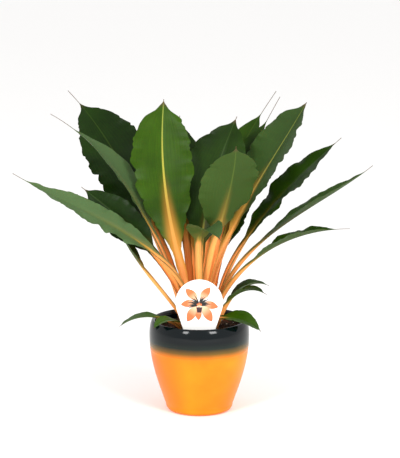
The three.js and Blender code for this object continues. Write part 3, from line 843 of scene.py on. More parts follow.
def folded_rise(tree, field, reach):
    """How far a V-shaped blade has risen at `reach` from its midrib. A hyperbola rounds the V."""
    square = add(tree, "ShaderNodeMath", {0: reach, 1: reach, 2: VALLEY_ROUND ** 2},
                 operation="MULTIPLY_ADD")
    slope = add(tree, "ShaderNodeMath", {0: square}, operation="SQRT")
    valley = add(tree, "ShaderNodeMath", {0: slope, 1: VALLEY_ROUND}, operation="SUBTRACT")
    fold_sine = add(tree, "ShaderNodeMath", {0: field["fold"]}, operation="SINE")
    return add(tree, "ShaderNodeMath", {0: valley, 1: fold_sine}, operation="MULTIPLY")


def margin_noise(tree, given, across, pace, edge):
    """A wave and small bites along each margin. Both are strong only at the edge."""
    hand = add(tree, "ShaderNodeMath", {0: across}, operation="SIGN")
    line_seed = add(tree, "ShaderNodeMath", {0: hand, 1: 5.0, 2: given["Seed"]},
                    operation="MULTIPLY_ADD")
    spot = add(tree, "ShaderNodeCombineXYZ", {"X": pace, "Y": line_seed})
    noise = add(tree, "ShaderNodeTexNoise", {"Vector": spot, "Scale": 1.0, "Detail": 2.0},
                noise_dimensions="2D")
    wave = add(tree, "ShaderNodeMapRange", {0: noise.outputs[0], 1: 0.25, 2: 0.75, 3: -1, 4: 1},
               clamp=False)
    nick_noise = add(tree, "ShaderNodeTexNoise", {"Vector": spot, "Scale": NICKS_PER_WAVE,
                                                  "Detail": 1.0}, noise_dimensions="2D")
    nick = add(tree, "ShaderNodeMapRange", {0: nick_noise.outputs[0], 1: 0.55, 2: 0.7})
    return [add(tree, "ShaderNodeMath", {0: value, 1: edge}, operation="MULTIPLY")
            for value in (wave, nick)]


def billowing(tree, given, field, across, away, pace):
    """How far the blade between midrib and margin swells or sinks."""
    drift = add(tree, "ShaderNodeMath", {0: across, 1: 1.2, 2: given["Seed"]},
                operation="MULTIPLY_ADD")
    patch = add(tree, "ShaderNodeCombineXYZ", {"X": pace, "Y": drift})
    noise = add(tree, "ShaderNodeTexNoise", {"Vector": patch, "Scale": BILLOWS_PER_WAVE,
                                             "Detail": 1.0}, noise_dimensions="2D")
    swell = add(tree, "ShaderNodeMapRange", {0: noise.outputs[0], 1: 0.3, 2: 0.7, 3: -1, 4: 1})
    swell_far = add(tree, "ShaderNodeMath", {0: swell, 1: away}, operation="MULTIPLY")
    size = add(tree, "ShaderNodeMath", {0: field["frill"], 1: given["Billow Share"]},
               operation="MULTIPLY")
    return add(tree, "ShaderNodeMath", {0: swell_far, 1: size}, operation="MULTIPLY")


def rib_depth(tree, given, field, reach, lift, below):
    """A bell curve about the midrib, which makes the keel below and the groove above."""
    ratio = add(tree, "ShaderNodeMath", {0: reach, 1: field["rib"]}, operation="DIVIDE")
    fall = add(tree, "ShaderNodeMath", {0: ratio, 1: 2.0}, operation="POWER")
    minus = add(tree, "ShaderNodeMath", {0: fall, 1: -1.0}, operation="MULTIPLY")
    bell = add(tree, "ShaderNodeMath", {0: minus}, operation="EXPONENT")
    keel = add(tree, "ShaderNodeMath", {0: bell, 1: field["keel"], 2: given["Margin"]},
               operation="MULTIPLY_ADD")
    size = add(tree, "ShaderNodeMath", {0: lift}, operation="ABSOLUTE")
    thin = add(tree, "ShaderNodeMath", {0: size, 1: 0.5}, operation="POWER")
    drop = add(tree, "ShaderNodeMath", {0: keel, 1: thin}, operation="MULTIPLY")
    groove = add(tree, "ShaderNodeMath", {0: bell, 1: given["Groove"]}, operation="MULTIPLY")
    return add(tree, "ShaderNodeMix", {0: below, 2: groove, 3: drop}, data_type="FLOAT")


# %% [markdown]
# The parts above are put together here. Height adds the fold, the frill and the billow and takes
# the rib away, and width is narrowed by the fold, the scallops of the margin and its nicks.

# %% The whole leaf tree
def leaf_tree():
    tree, given = new_tree("grown leaf", {
        "Section Points": "Int", "Margin": "Float", "Groove": "Float", "Waves": "Float",
        "Billow Share": "Float", "Nick Depth": "Float", "Seed": "Float", "Material": "Material"})
    line = add(tree, "GeometryNodeMeshToCurve", {"Mesh": given["Geometry"]})
    ring = marked_ring(tree, given["Section Points"])
    tube = add(tree, "GeometryNodeCurveToMesh",
               {"Curve": line, "Profile Curve": ring, "Fill Caps": True})
    field = read_fields(tree, LEAF_NUMBERS, FRAME_VECTORS)
    angle = add(tree, "ShaderNodeMath", {0: field["turn"], 1: math.tau}, operation="MULTIPLY")
    across = add(tree, "ShaderNodeMath", {0: angle}, operation="COSINE")
    lift = add(tree, "ShaderNodeMath", {0: angle}, operation="SINE")
    below = add(tree, "ShaderNodeMath", {0: lift, 1: 0.0}, operation="LESS_THAN")
    away = add(tree, "ShaderNodeMath", {0: across}, operation="ABSOLUTE")
    reach = add(tree, "ShaderNodeMath", {0: away, 1: field["half"]}, operation="MULTIPLY")
    pace = add(tree, "ShaderNodeMath", {0: field["along"], 1: given["Waves"]}, operation="MULTIPLY")
    edge = add(tree, "ShaderNodeMath", {0: away, 1: 3.0}, operation="POWER")
    wave, bite = margin_noise(tree, given, across, pace, edge)
    frill = add(tree, "ShaderNodeMath", {0: wave, 1: field["frill"]}, operation="MULTIPLY")
    height = add(tree, "ShaderNodeMath", {0: folded_rise(tree, field, reach), 1: frill},
                 operation="ADD")
    height = add(tree, "ShaderNodeMath", {
        0: height, 1: billowing(tree, given, field, across, away, pace)}, operation="ADD")
    height = add(tree, "ShaderNodeMath", {
        0: height, 1: rib_depth(tree, given, field, reach, lift, below)}, operation="SUBTRACT")
    scallop = add(tree, "ShaderNodeMath", {0: wave, 1: -SCALLOP_DEPTH, 2: 1.0},
                  operation="MULTIPLY_ADD")
    nibble = add(tree, "ShaderNodeMath", {0: bite, 1: given["Nick Depth"], 2: scallop},
                 operation="MULTIPLY_ADD")
    spread = add(tree, "ShaderNodeMath", {0: across, 1: field["half"]}, operation="MULTIPLY")
    fold_cosine = add(tree, "ShaderNodeMath", {0: field["fold"]}, operation="COSINE")
    narrowed = add(tree, "ShaderNodeMath", {0: spread, 1: fold_cosine}, operation="MULTIPLY")
    width = add(tree, "ShaderNodeMath", {0: narrowed, 1: nibble}, operation="MULTIPLY")
    place = stand_off(tree, field, width, height)
    leaf = add(tree, "GeometryNodeSetPosition", {"Geometry": tube, "Position": place})
    for name, value in (("across", across), ("reach", reach), ("below", below)):
        leaf = add(tree, "GeometryNodeStoreNamedAttribute",
                   {"Geometry": leaf, "Name": name, "Value": value},
                   data_type="FLOAT", domain="POINT")
    end_tree(tree, leaf, given["Material"])
    return tree


# %% [markdown]
# Leaf tissue is a waxy skin over green flesh. The upper face is darker and glossier, the lower
# face is greyer because air lies under its skin, and the orange of the stalk runs up the midrib
# and fades to yellow. Veins run along the blade, not across it, as in all lilies and their
# kin. They are drawn from the leaf's own coordinates. Leaf wax has an IOR near 1.45, and fine
# wax grains scatter most of what a smooth skin would mirror, so the specular level is low. On
# some leaves a grey sheen is painted into the upper face's colour for a grazing reflection.
# To the eye this gives a satin dark blade, paler where that sheen is painted, never a plastic shine.

# %% The blade's greens
HALF_BLADE = 44 * MM
LEAF_LENGTH = 350 * MM
VEIN_SPACING = 4.6 * MM  # true spacing is near 2 mm, drawn coarser to show
VEINS = round(2 * HALF_BLADE / VEIN_SPACING)
STREAK_WIDTH = 1.3 * MM
STREAK_LENGTH = 50 * MM
FIBRE_WIDTH = 0.8 * MM
LEAF_PATCH = 36 * MM


def blade_colour(tree, field, vein_wave, streaks):
    """Old or young green in soft patches, then veins, streaks, a painted grey sheen and the paler
    underside.
    """
    where = add(tree, "ShaderNodeTexCoord").outputs["Object"]
    patches = add(tree, "ShaderNodeTexNoise", {"Vector": where, "Scale": 1 / LEAF_PATCH, "Detail": 3})
    patch = add(tree, "ShaderNodeMapRange", {0: patches.outputs["Fac"], 1: 0.3, 2: 0.7})
    green_old = add(tree, "ShaderNodeMix", {0: patch, 6: linear("0A1B02"), 7: linear("142A04")},
                    data_type="RGBA")
    green_young = add(tree, "ShaderNodeMix", {0: patch, 6: linear("2A4602"), 7: linear("365604")},
                      data_type="RGBA")
    green = add(tree, "ShaderNodeMix", {0: field["tone"], 6: green_old.outputs[2],
                                        7: green_young.outputs[2]}, data_type="RGBA")
    vein = add(tree, "ShaderNodeMapRange", {0: vein_wave, 1: 0.3, 2: 1.0, 4: 0.08})
    veined = add(tree, "ShaderNodeMix", {0: vein, 6: green.outputs[2], 7: linear("2E4A10")},
                 data_type="RGBA")
    streak = add(tree, "ShaderNodeMapRange", {0: streaks.outputs["Fac"], 1: 0.35, 2: 0.7, 4: 0.3})
    streaked = add(tree, "ShaderNodeMix", {0: streak, 6: veined.outputs[2],
                                           7: green_old.outputs[2]}, data_type="RGBA")
    # painted sheen: a grey-green veil mixed into the upper face's colour, standing for a grazing
    # reflection
    sheen_veiled = add(tree, "ShaderNodeMix", {0: field["bloom"], 6: streaked.outputs[2],
                                        7: linear("536B42")}, data_type="RGBA")
    under = add(tree, "ShaderNodeMix", {0: field["tone"], 6: linear("33471C"),
                                        7: linear("4A661E")}, data_type="RGBA")
    under_share = add(tree, "ShaderNodeMath", {0: field["below"], 1: 0.8}, operation="MULTIPLY")
    return add(tree, "ShaderNodeMix", {0: under_share, 6: sheen_veiled.outputs[2],
                                       7: under.outputs[2]}, data_type="RGBA")


# %% [markdown]
# Carotene colours the stalk and the midrib. On a young leaf it also glows through the blade
# beside the midrib, wide at the foot and gone by the middle. The midrib of a cool leaf turns as
# green as its blade beyond the stalk, so only warm leaves carry a bright line to the tip.

# %% The orange stalk, midrib and glow
def add_glow(tree, field, near, blade):
    glow = add(tree, "ShaderNodeMapRange", {0: near, 1: 8.0, 2: 1.0, 3: 0.0, 4: 0.9},
               interpolation_type="SMOOTHSTEP")
    fading = add(tree, "ShaderNodeMapRange", {0: field["blade"], 1: 0.62, 2: 0.1},
                 interpolation_type="SMOOTHSTEP")
    glow_far = add(tree, "ShaderNodeMath", {0: glow, 1: fading}, operation="MULTIPLY")
    glow_share = add(tree, "ShaderNodeMath", {0: glow_far, 1: field["warmth"]},
                     operation="MULTIPLY")
    glow_hue = add(tree, "ShaderNodeMix", {0: glow, 6: linear("76701A"), 7: linear("DE963E")},
                   data_type="RGBA")
    return add(tree, "ShaderNodeMix", {0: glow_share, 6: blade.outputs[2],
                                       7: glow_hue.outputs[2]}, data_type="RGBA")


def midrib_colour(tree, field, streak_along):
    """Orange at the stalk, then yellow where the leaf is warm and green where it is cool."""
    warm_ramp = add(tree, "ShaderNodeValToRGB", {0: field["blade"]})
    set_stops(warm_ramp,
              {0.0: "FCAC62", 0.1: "F7A456", 0.3: "D8A44C", 0.6: "A8A23E", 1.0: "7E8C3A"})
    cool_ramp = add(tree, "ShaderNodeValToRGB", {0: field["blade"]})
    set_stops(cool_ramp, {0.0: "FAA65A", 0.09: "B08A3A", 0.22: "4A6A28"})
    hue = add(tree, "ShaderNodeMix", {0: field["warmth"], 6: cool_ramp.outputs["Color"],
                                      7: warm_ramp.outputs["Color"]}, data_type="RGBA")
    fibre_across = add(tree, "ShaderNodeMath",
                       {0: field["across"], 1: STALK_WIDTH / 2 / FIBRE_WIDTH}, operation="MULTIPLY")
    fibre = add(tree, "ShaderNodeTexNoise", {
        "Vector": add(tree, "ShaderNodeCombineXYZ", {"X": fibre_across, "Y": streak_along}),
        "Scale": 1.0, "Detail": 2})
    fibre_share = add(tree, "ShaderNodeMapRange",
                      {0: fibre.outputs["Fac"], 1: 0.4, 2: 0.75, 4: 0.3})
    low = add(tree, "ShaderNodeMapRange", {0: field["along"], 1: 0.2, 2: 0.02, 4: 0.4})
    deeper = add(tree, "ShaderNodeMath", {0: fibre_share, 1: low}, operation="MAXIMUM")
    on_stalk = add(tree, "ShaderNodeMath", {0: field["blade"], 1: 0.02}, operation="LESS_THAN")
    stalk_share = add(tree, "ShaderNodeMath", {0: deeper, 1: on_stalk}, operation="MULTIPLY")
    return add(tree, "ShaderNodeMix", {0: stalk_share, 6: hue.outputs[2],
                                       7: linear("EE8A36")}, data_type="RGBA")


def midrib_share(tree, field, near):
    faded = add(tree, "ShaderNodeMapRange", {0: field["blade"], 1: 0.08, 2: 0.38, 3: 1.0, 4: 0.15})
    shown = add(tree, "ShaderNodeMath", {0: faded, 1: field["warmth"]}, operation="MAXIMUM")
    rib_edge = add(tree, "ShaderNodeMapRange", {0: near, 1: 1.5, 2: 0.6},
                   interpolation_type="SMOOTHSTEP")
    return add(tree, "ShaderNodeMath", {0: rib_edge, 1: shown}, operation="MULTIPLY")


# %% [markdown]
# The whole material lays the midrib over the blade and dries the thread at the tip to brown.
# Veins are stripes at a constant distance across the blade. They and the streaks also make a
# low relief, so the gloss breaks up along the leaf as it does on a real one.

# %% Leaf tissue
VEIN_RELIEF = 0.3 * MM


def leaf_tissue():
    material, tree = new_material("waxy leaf tissue")
    names = ("across", "reach", "rib", "along", "blade", "below", "tone", "dry", "warmth", "bloom")
    field = {name: add(tree, "ShaderNodeAttribute", attribute_name=name).outputs["Fac"]
             for name in names}
    stripe = add(tree, "ShaderNodeMath", {0: field["across"], 1: math.pi * VEINS},
                 operation="MULTIPLY")
    vein_wave = add(tree, "ShaderNodeMath", {0: stripe}, operation="COSINE")
    streak_across = add(tree, "ShaderNodeMath",
                        {0: field["across"], 1: HALF_BLADE / STREAK_WIDTH}, operation="MULTIPLY")
    streak_along = add(tree, "ShaderNodeMath",
                       {0: field["along"], 1: LEAF_LENGTH / STREAK_LENGTH}, operation="MULTIPLY")
    streaks = add(tree, "ShaderNodeTexNoise", {
        "Vector": add(tree, "ShaderNodeCombineXYZ", {"X": streak_across, "Y": streak_along}),
        "Scale": 1.0, "Detail": 3})
    near = add(tree, "ShaderNodeMath", {0: field["reach"], 1: field["rib"]}, operation="DIVIDE")
    blade = add_glow(tree, field, near, blade_colour(tree, field, vein_wave, streaks))
    rib_colour = midrib_colour(tree, field, streak_along)
    tissue = add(tree, "ShaderNodeMix", {
        0: midrib_share(tree, field, near), 6: blade.outputs[2], 7: rib_colour.outputs[2]},
        data_type="RGBA")
    dried = add(tree, "ShaderNodeMix", {0: field["dry"], 6: tissue.outputs[2],
                                        7: linear("5A4630")}, data_type="RGBA")
    rough = add(tree, "ShaderNodeMapRange", {0: field["below"], 3: 0.38, 4: 0.55})
    relief = add(tree, "ShaderNodeMath", {0: vein_wave, 1: 0.2, 2: streaks.outputs["Fac"]},
                 operation="MULTIPLY_ADD")
    bump = add(tree, "ShaderNodeBump", {"Height": relief, "Strength": 0.3,
                                        "Distance": VEIN_RELIEF})
    shade = add(tree, "ShaderNodeBsdfPrincipled", {
        "Base Color": dried.outputs[2], "Roughness": rough, "IOR": 1.45,
        "Specular IOR Level": 0.12,
        "Subsurface Weight": 0.06, "Subsurface Scale": 1.0 * MM, "Normal": bump})
    finish_material(tree, shade)
    return material


# %% [markdown]
# Every leaf is grown by the same tree with the same material. Only its midrib, its number of
# waves and its seed differ. Each is a closed skin, so no edge may be left open.

# %% Grow the leaves
SECTION_POINTS = 44
MARGIN_THICKNESS = 0.45 * MM
GROOVE = 0.5 * MM
WAVE_LENGTH = 26
BILLOW_SHARE = 0.5
NICK_DEPTH = 0.07

growing = leaf_tree()
tissue = leaf_tissue()
for number, (name, leaf) in enumerate(LEAVES.items()):
    piece = bake(name.replace("leaf", "grown_leaf"), midrib(name, leaf), growing, {
        "Section Points": SECTION_POINTS, "Margin": MARGIN_THICKNESS, "Groove": GROOVE,
        "Waves": leaf["length"] / WAVE_LENGTH, "Billow Share": BILLOW_SHARE,
        "Nick Depth": -NICK_DEPTH, "Seed": float(SEED + number * 3),
        "Material": tissue})
    open_edges = close_and_orient(piece, distance=0)
    settle(piece, name, slot="leaf")
    print(piece.name, len(piece.data.polygons), "faces,", open_edges, "open edges")

# %% [markdown]
# ## The crown and its roots
# The stalks rise from a short woody crown, half out of the soil, wrapped in the dry bases of
# old leaves. The dome is turned and heaved like the soil. The dry bases are small leaves with
# no stalk, so the leaf tree grows them too. The roots are thick, pale and fleshy; they lie in
# the soil and show only when the plant is lifted out, so a plain swept tube is enough. Dry
# cellulose scatters light and has no wax left, so to the eye the bases are matt tan paper with
# long fibres, the crown is rough brown wood, and the living roots are a little smoother.

# %% Papery bases and root skin
FIBRE_RUN = 17 * MM


def plant_skin(name, pale, deep, streak, roughness):
    material, tree = new_material(name)
    where = add(tree, "ShaderNodeTexCoord").outputs["Object"]
    drawn = add(tree, "ShaderNodeVectorMath",
                {0: where, 1: (1 / streak, 1 / streak, 1 / FIBRE_RUN)},
                operation="MULTIPLY")
    fibre = add(tree, "ShaderNodeTexNoise", {"Vector": drawn, "Scale": 1.0, "Detail": 4})
    share = add(tree, "ShaderNodeMapRange", {0: fibre.outputs["Fac"], 1: 0.3, 2: 0.7})
    colour = add(tree, "ShaderNodeMix", {0: share, 6: linear(deep), 7: linear(pale)},
                 data_type="RGBA")
    bump = add(tree, "ShaderNodeBump", {"Height": fibre.outputs["Fac"], "Strength": 0.6,
                                        "Distance": streak * 0.5})
    shade = add(tree, "ShaderNodeBsdfPrincipled", {
        "Base Color": colour.outputs[2], "Roughness": roughness, "Specular IOR Level": 0.35,
        "Normal": bump})
    finish_material(tree, shade)
    return material


papery = plant_skin("papery dry leaf base", "B98A4E", "5A3318", 1.2 * MM, 0.7)
woody = plant_skin("woody crown tissue", "8A5A2C", "3C2413", 1.6 * MM, 0.8)
fleshy = plant_skin("fleshy root skin", "E6D7AE", "B79A66", 1.4 * MM, 0.55)


# %% [markdown]
# The crown's outline is half an ellipse above the soil and a deeper half below it. Only the
# part above is loose, so the buried part stays smooth.

# %% Turn the crown
CROWN_HEAVE = 1.5 * MM
CROWN_LUMP = 7 * MM


def crown_outline():
    turn = np.linspace(-math.pi / 2, math.pi / 2, 40)
    tall = np.where(np.sin(turn) > 0, CROWN_RISE, CROWN_DEPTH)
    radius = CROWN_RADIUS * np.cos(turn)
    radius[[0, -1]] = 0
    return np.c_[radius, SOIL_LEVEL + tall * np.sin(turn), np.clip(np.sin(turn), 0, 1) * 0.8]


crown = turn_body("woody_crown", crown_outline(), woody, turning, CROWN_HEAVE, CROWN_LUMP)
settle(crown, "crown_with_roots", slot="crown_and_roots")


# %% [markdown]
# Dry bases stand in an uneven ring round the crown and lean outwards. Slow sine waves vary
# their place and length, which is enough to hide that they are one shape.

# %% Grow the dry leaf bases round the crown
BASES = 17
turns = [math.tau * n / BASES + 0.25 * math.sin(n * 2.4) for n in range(BASES)]
dry_bases = []
for n, turn in enumerate(turns):
    near = 0.72 + 0.16 * math.sin(n * 1.7)
    facing = math.degrees(turn)
    base_leaf = HABIT | dict(
        seat=(near * math.cos(turn), near * math.sin(turn)), length=26 + 7 * math.sin(n * 1.3),
        width=13, stalk=0.02, widest=0.35, taper=0.9, fold=34, pitch=(74, 70, 58),
        heading=(facing, facing, facing), frill=0.8, thread=0.03, tone=0, warmth=0)
    dry_bases.append(bake(f"dry_base_{n}", midrib(f"dry base {n}", base_leaf), growing, {
        "Section Points": 20, "Margin": 0.35 * MM, "Groove": 0.1 * MM, "Waves": 1.0,
        "Billow Share": BILLOW_SHARE, "Nick Depth": 0.0, "Seed": float(n), "Material": papery}))
dry_base = join("dry_leaf_bases", dry_bases)
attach(dry_base, ROOT_BODY)

# %% [markdown]
# A root runs out sideways, bends down and thins. Each station carries its own frame and
# thickness, as a leaf's does, and a noise puckers the skin by up to a tenth of its thickness.

# %% Roots
ROOTS = 8
ROOT_REACH = 36 * MM
ROOT_DEPTH = 78 * MM
ROOT_RADIUS = 4.5 * MM
ROOT_TIP_RADIUS = 1.5 * MM
SHORT_ROOT = 0.72
ROOT_BEND = 0.15
ROOT_SEAT = 0.4
ROOT_KNEE = (0.85, 0.45)  # shares of the reach and of the depth
ROOT_TIP_SHARE = 0.03
PUCKER_SHARE = 0.2
PUCKERS_PER_METRE = 260  # a pucker about every 3.8 mm


def root_tree():
    tree, given = new_tree("swept root", {
        "Section Points": "Int", "Pucker Share": "Float", "Material": "Material"})
    line = add(tree, "GeometryNodeMeshToCurve", {"Mesh": given["Geometry"]})
    ring = marked_ring(tree, given["Section Points"])
    tube = add(tree, "GeometryNodeCurveToMesh",
               {"Curve": line, "Profile Curve": ring, "Fill Caps": True})
    field = read_fields(tree, ("thick", "turn"), FRAME_VECTORS)
    angle = add(tree, "ShaderNodeMath", {0: field["turn"], 1: math.tau}, operation="MULTIPLY")
    cosine = add(tree, "ShaderNodeMath", {0: angle}, operation="COSINE")
    sine = add(tree, "ShaderNodeMath", {0: angle}, operation="SINE")
    pucker = add(tree, "ShaderNodeTexNoise", {"Vector": field["centre"],
                                               "Scale": PUCKERS_PER_METRE, "Detail": 2})
    swell = add(tree, "ShaderNodeMath", {
        0: pucker.outputs[0], 1: given["Pucker Share"], 2: 1 - PUCKER_SHARE / 2},
        operation="MULTIPLY_ADD")
    thick = add(tree, "ShaderNodeMath", {0: field["thick"], 1: swell}, operation="MULTIPLY")
    x = add(tree, "ShaderNodeMath", {0: cosine, 1: thick}, operation="MULTIPLY")
    y = add(tree, "ShaderNodeMath", {0: sine, 1: thick}, operation="MULTIPLY")
    place = stand_off(tree, field, x, y)
    root = add(tree, "GeometryNodeSetPosition", {"Geometry": tube, "Position": place})
    end_tree(tree, root, given["Material"])
    return tree


def root_line(number):
    turn = math.tau * (number + 0.5) / ROOTS
    size = 1 if number % 2 == 0 else SHORT_ROOT
    stops = [(CROWN_RADIUS * ROOT_SEAT, turn, CROWN_DEPTH / 2),
             (ROOT_REACH * size * ROOT_KNEE[0], turn + ROOT_BEND, ROOT_DEPTH * size * ROOT_KNEE[1]),
             (ROOT_REACH * size, turn, ROOT_DEPTH * size)]
    ends = [np.array([r * math.cos(a), r * math.sin(a), SOIL_LEVEL - d]) for r, a, d in stops]
    t = np.linspace(0, 1, 41)[:, None]
    path = along(ends, t)
    forward = np.gradient(path, axis=0)
    forward /= np.linalg.norm(forward, axis=1)[:, None]
    side = np.cross(forward, [-math.sin(turn), math.cos(turn), 0])
    side /= np.linalg.norm(side, axis=1)[:, None]
    tip = np.sqrt(np.clip((1 - t[:, 0]) / ROOT_TIP_SHARE, 0.02, 1))
    thick = (ROOT_RADIUS + (ROOT_TIP_RADIUS - ROOT_RADIUS) * t[:, 0] ** 2) * tip
    return polyline(f"root {number} line", path, centre=path, up=np.cross(side, forward),
                    side=side, thick=thick)


rooting = root_tree()
roots = [bake(f"root_{n}", root_line(n), rooting, {
    "Section Points": 18, "Pucker Share": PUCKER_SHARE, "Material": fleshy})
    for n in range(ROOTS)]
root = join("fleshy_roots", roots)
settle(root, "crown_with_roots", slot="crown_and_roots")

# %% [markdown]
# ## The plant label
# A label is punched from white plastic card about a millimetre thick: a round head that runs
# down into a stake. The plate is a bevelled outline, because punching leaves a slightly soft
# edge. The print on it is a generic picture of a potted plant inside a ring of orange leaves,
# with no lettering. Each shape of the picture is a low, closed relief, so that it stays sharp
# from any distance. A coat of thick screen ink stands about a tenth of a millimetre high, and a
# shape that overlaps another lies one coat higher. Polystyrene has an IOR near 1.59 and comes
# off a polished roller, so the eye gets a clean white card with a faint gloss, flat satin ink
# on it, and peat stains only where it enters the soil.

# %% Label card and inks
INK_GRAIN = 1.1 * MM
CARD_GRAIN = 2 * MM
SPLASH_SIZE = 4.5 * MM
SPLASH_REACH = 9 * MM


def printed_ink(name, inner, outer, tip):
    material, tree = new_material(name)
    share = add(tree, "ShaderNodeAttribute", attribute_name="out").outputs["Fac"]
    ramp = add(tree, "ShaderNodeValToRGB", {0: share})
    set_stops(ramp, {0.15: inner, 0.6: outer, 0.88: outer, 1.0: tip})
    where = add(tree, "ShaderNodeTexCoord").outputs["Object"]
    speck = add(tree, "ShaderNodeTexNoise", {"Vector": where, "Scale": 1 / INK_GRAIN, "Detail": 2})
    rough = add(tree, "ShaderNodeMapRange", {0: speck.outputs["Fac"], 3: 0.35, 4: 0.5})
    shade = add(tree, "ShaderNodeBsdfPrincipled", {
        "Base Color": ramp.outputs["Color"], "Roughness": rough, "Specular IOR Level": 0.4})
    finish_material(tree, shade)
    return material


def label_card():
    material, tree = new_material("punched white polystyrene card")
    where = add(tree, "ShaderNodeTexCoord").outputs["Object"]
    speck = add(tree, "ShaderNodeTexNoise", {"Vector": where, "Scale": 1 / CARD_GRAIN, "Detail": 2})
    height = add(tree, "ShaderNodeSeparateXYZ", {0: where}).outputs["Z"]
    splash = add(tree, "ShaderNodeTexNoise", {"Vector": where, "Scale": 1 / SPLASH_SIZE, "Detail": 3})
    reach = add(tree, "ShaderNodeMapRange", {0: splash.outputs["Fac"], 4: SPLASH_REACH})
    above = add(tree, "ShaderNodeMath", {0: height, 1: reach}, operation="SUBTRACT")
    soiled = add(tree, "ShaderNodeMapRange", {0: above, 1: SOIL_LEVEL, 2: SOIL_LEVEL - 3 * MM})
    colour = add(tree, "ShaderNodeMix", {0: soiled, 6: linear("F6F5F1"), 7: linear("8F7F6C")},
                 data_type="RGBA")
    rough = add(tree, "ShaderNodeMapRange", {0: speck.outputs["Fac"], 3: 0.28, 4: 0.42})
    shade = add(tree, "ShaderNodeBsdfPrincipled", {
        "Base Color": colour.outputs[2], "Roughness": rough, "IOR": 1.59})
    finish_material(tree, shade)
    return material


# %% [markdown]
# The plate's outline is an arc for the head, two shoulders and a blunt point. It is extruded
# to the card's thickness, and its front and back edges get a fine bevel.

# %% Cut the label's plate
LABEL_WIDTH = 65 * MM
LABEL_RISE = 80 * MM
LABEL_DEPTH = 50 * MM
LABEL_THICKNESS = 1 * MM
LABEL_STAKE_WIDTH = 38 * MM
LABEL_POINT_WIDTH = 8 * MM
LABEL_SETBACK = 12 * MM
LABEL_BEVEL = 0.2 * MM
LABEL_SHARP_EDGE = 40
LABEL_HEAD_ARC = (-18, 198)
LABEL_FRONT = -(MOUTH_RADIUS - LABEL_SETBACK) - LABEL_THICKNESS / 2
HEAD_LEVEL = SOIL_LEVEL + LABEL_RISE - LABEL_WIDTH / 2


def flat_plate(name, outline, front, thickness, bevel, material):
    """A plate that faces forwards (-Y), from an outline of x and z, with softened edges."""
    sheet = bmesh.new()
    rim = [sheet.verts.new((x, front + thickness, z)) for x, z in outline]
    face = sheet.faces.new(rim)
    pulled = bmesh.ops.extrude_face_region(sheet, geom=[face])["geom"]
    moved = [item for item in pulled if isinstance(item, bmesh.types.BMVert)]
    bmesh.ops.translate(sheet, verts=moved, vec=(0, -thickness, 0))
    bmesh.ops.recalc_face_normals(sheet, faces=sheet.faces)
    flat = [edge for edge in sheet.edges if abs(edge.verts[0].co.y - edge.verts[1].co.y) < 1e-7]
    bmesh.ops.bevel(sheet, geom=flat, offset=bevel, segments=2, profile=0.5, affect="EDGES")
    mesh = bpy.data.meshes.new(name)
    sheet.to_mesh(mesh)
    sheet.free()
    mesh.materials.append(material)
    piece = bpy.data.objects.new(name, mesh)
    bpy.context.scene.collection.objects.link(piece)
    mesh.shade_smooth()
    mesh.set_sharp_from_angle(angle=math.radians(LABEL_SHARP_EDGE))
    return piece


arc = np.radians(np.linspace(*LABEL_HEAD_ARC, 73))
label_outline = [
    (-LABEL_POINT_WIDTH / 2, SOIL_LEVEL - LABEL_DEPTH),
    (LABEL_POINT_WIDTH / 2, SOIL_LEVEL - LABEL_DEPTH),
    (LABEL_STAKE_WIDTH / 2, SOIL_LEVEL),
    *[(LABEL_WIDTH / 2 * math.cos(a), HEAD_LEVEL + LABEL_WIDTH / 2 * math.sin(a)) for a in arc],
    (-LABEL_STAKE_WIDTH / 2, SOIL_LEVEL),
]
plate = flat_plate("label_plate", label_outline, LABEL_FRONT, LABEL_THICKNESS, LABEL_BEVEL,
                   label_card())
settle(plate, "plant_label", slot="label_plastic")
print(plate.name, len(plate.data.polygons), "faces")

# %% [markdown]
# The ring of leaves and the little fan of blades follow one rule: a pointed lens set at a
# bearing, at a distance from a centre, with its own size. One tree makes both, from a point
# for each leaf that carries its bearing and its size.

# %% A tree that prints a ring of pointed shapes
INK_HEIGHT = 0.12 * MM


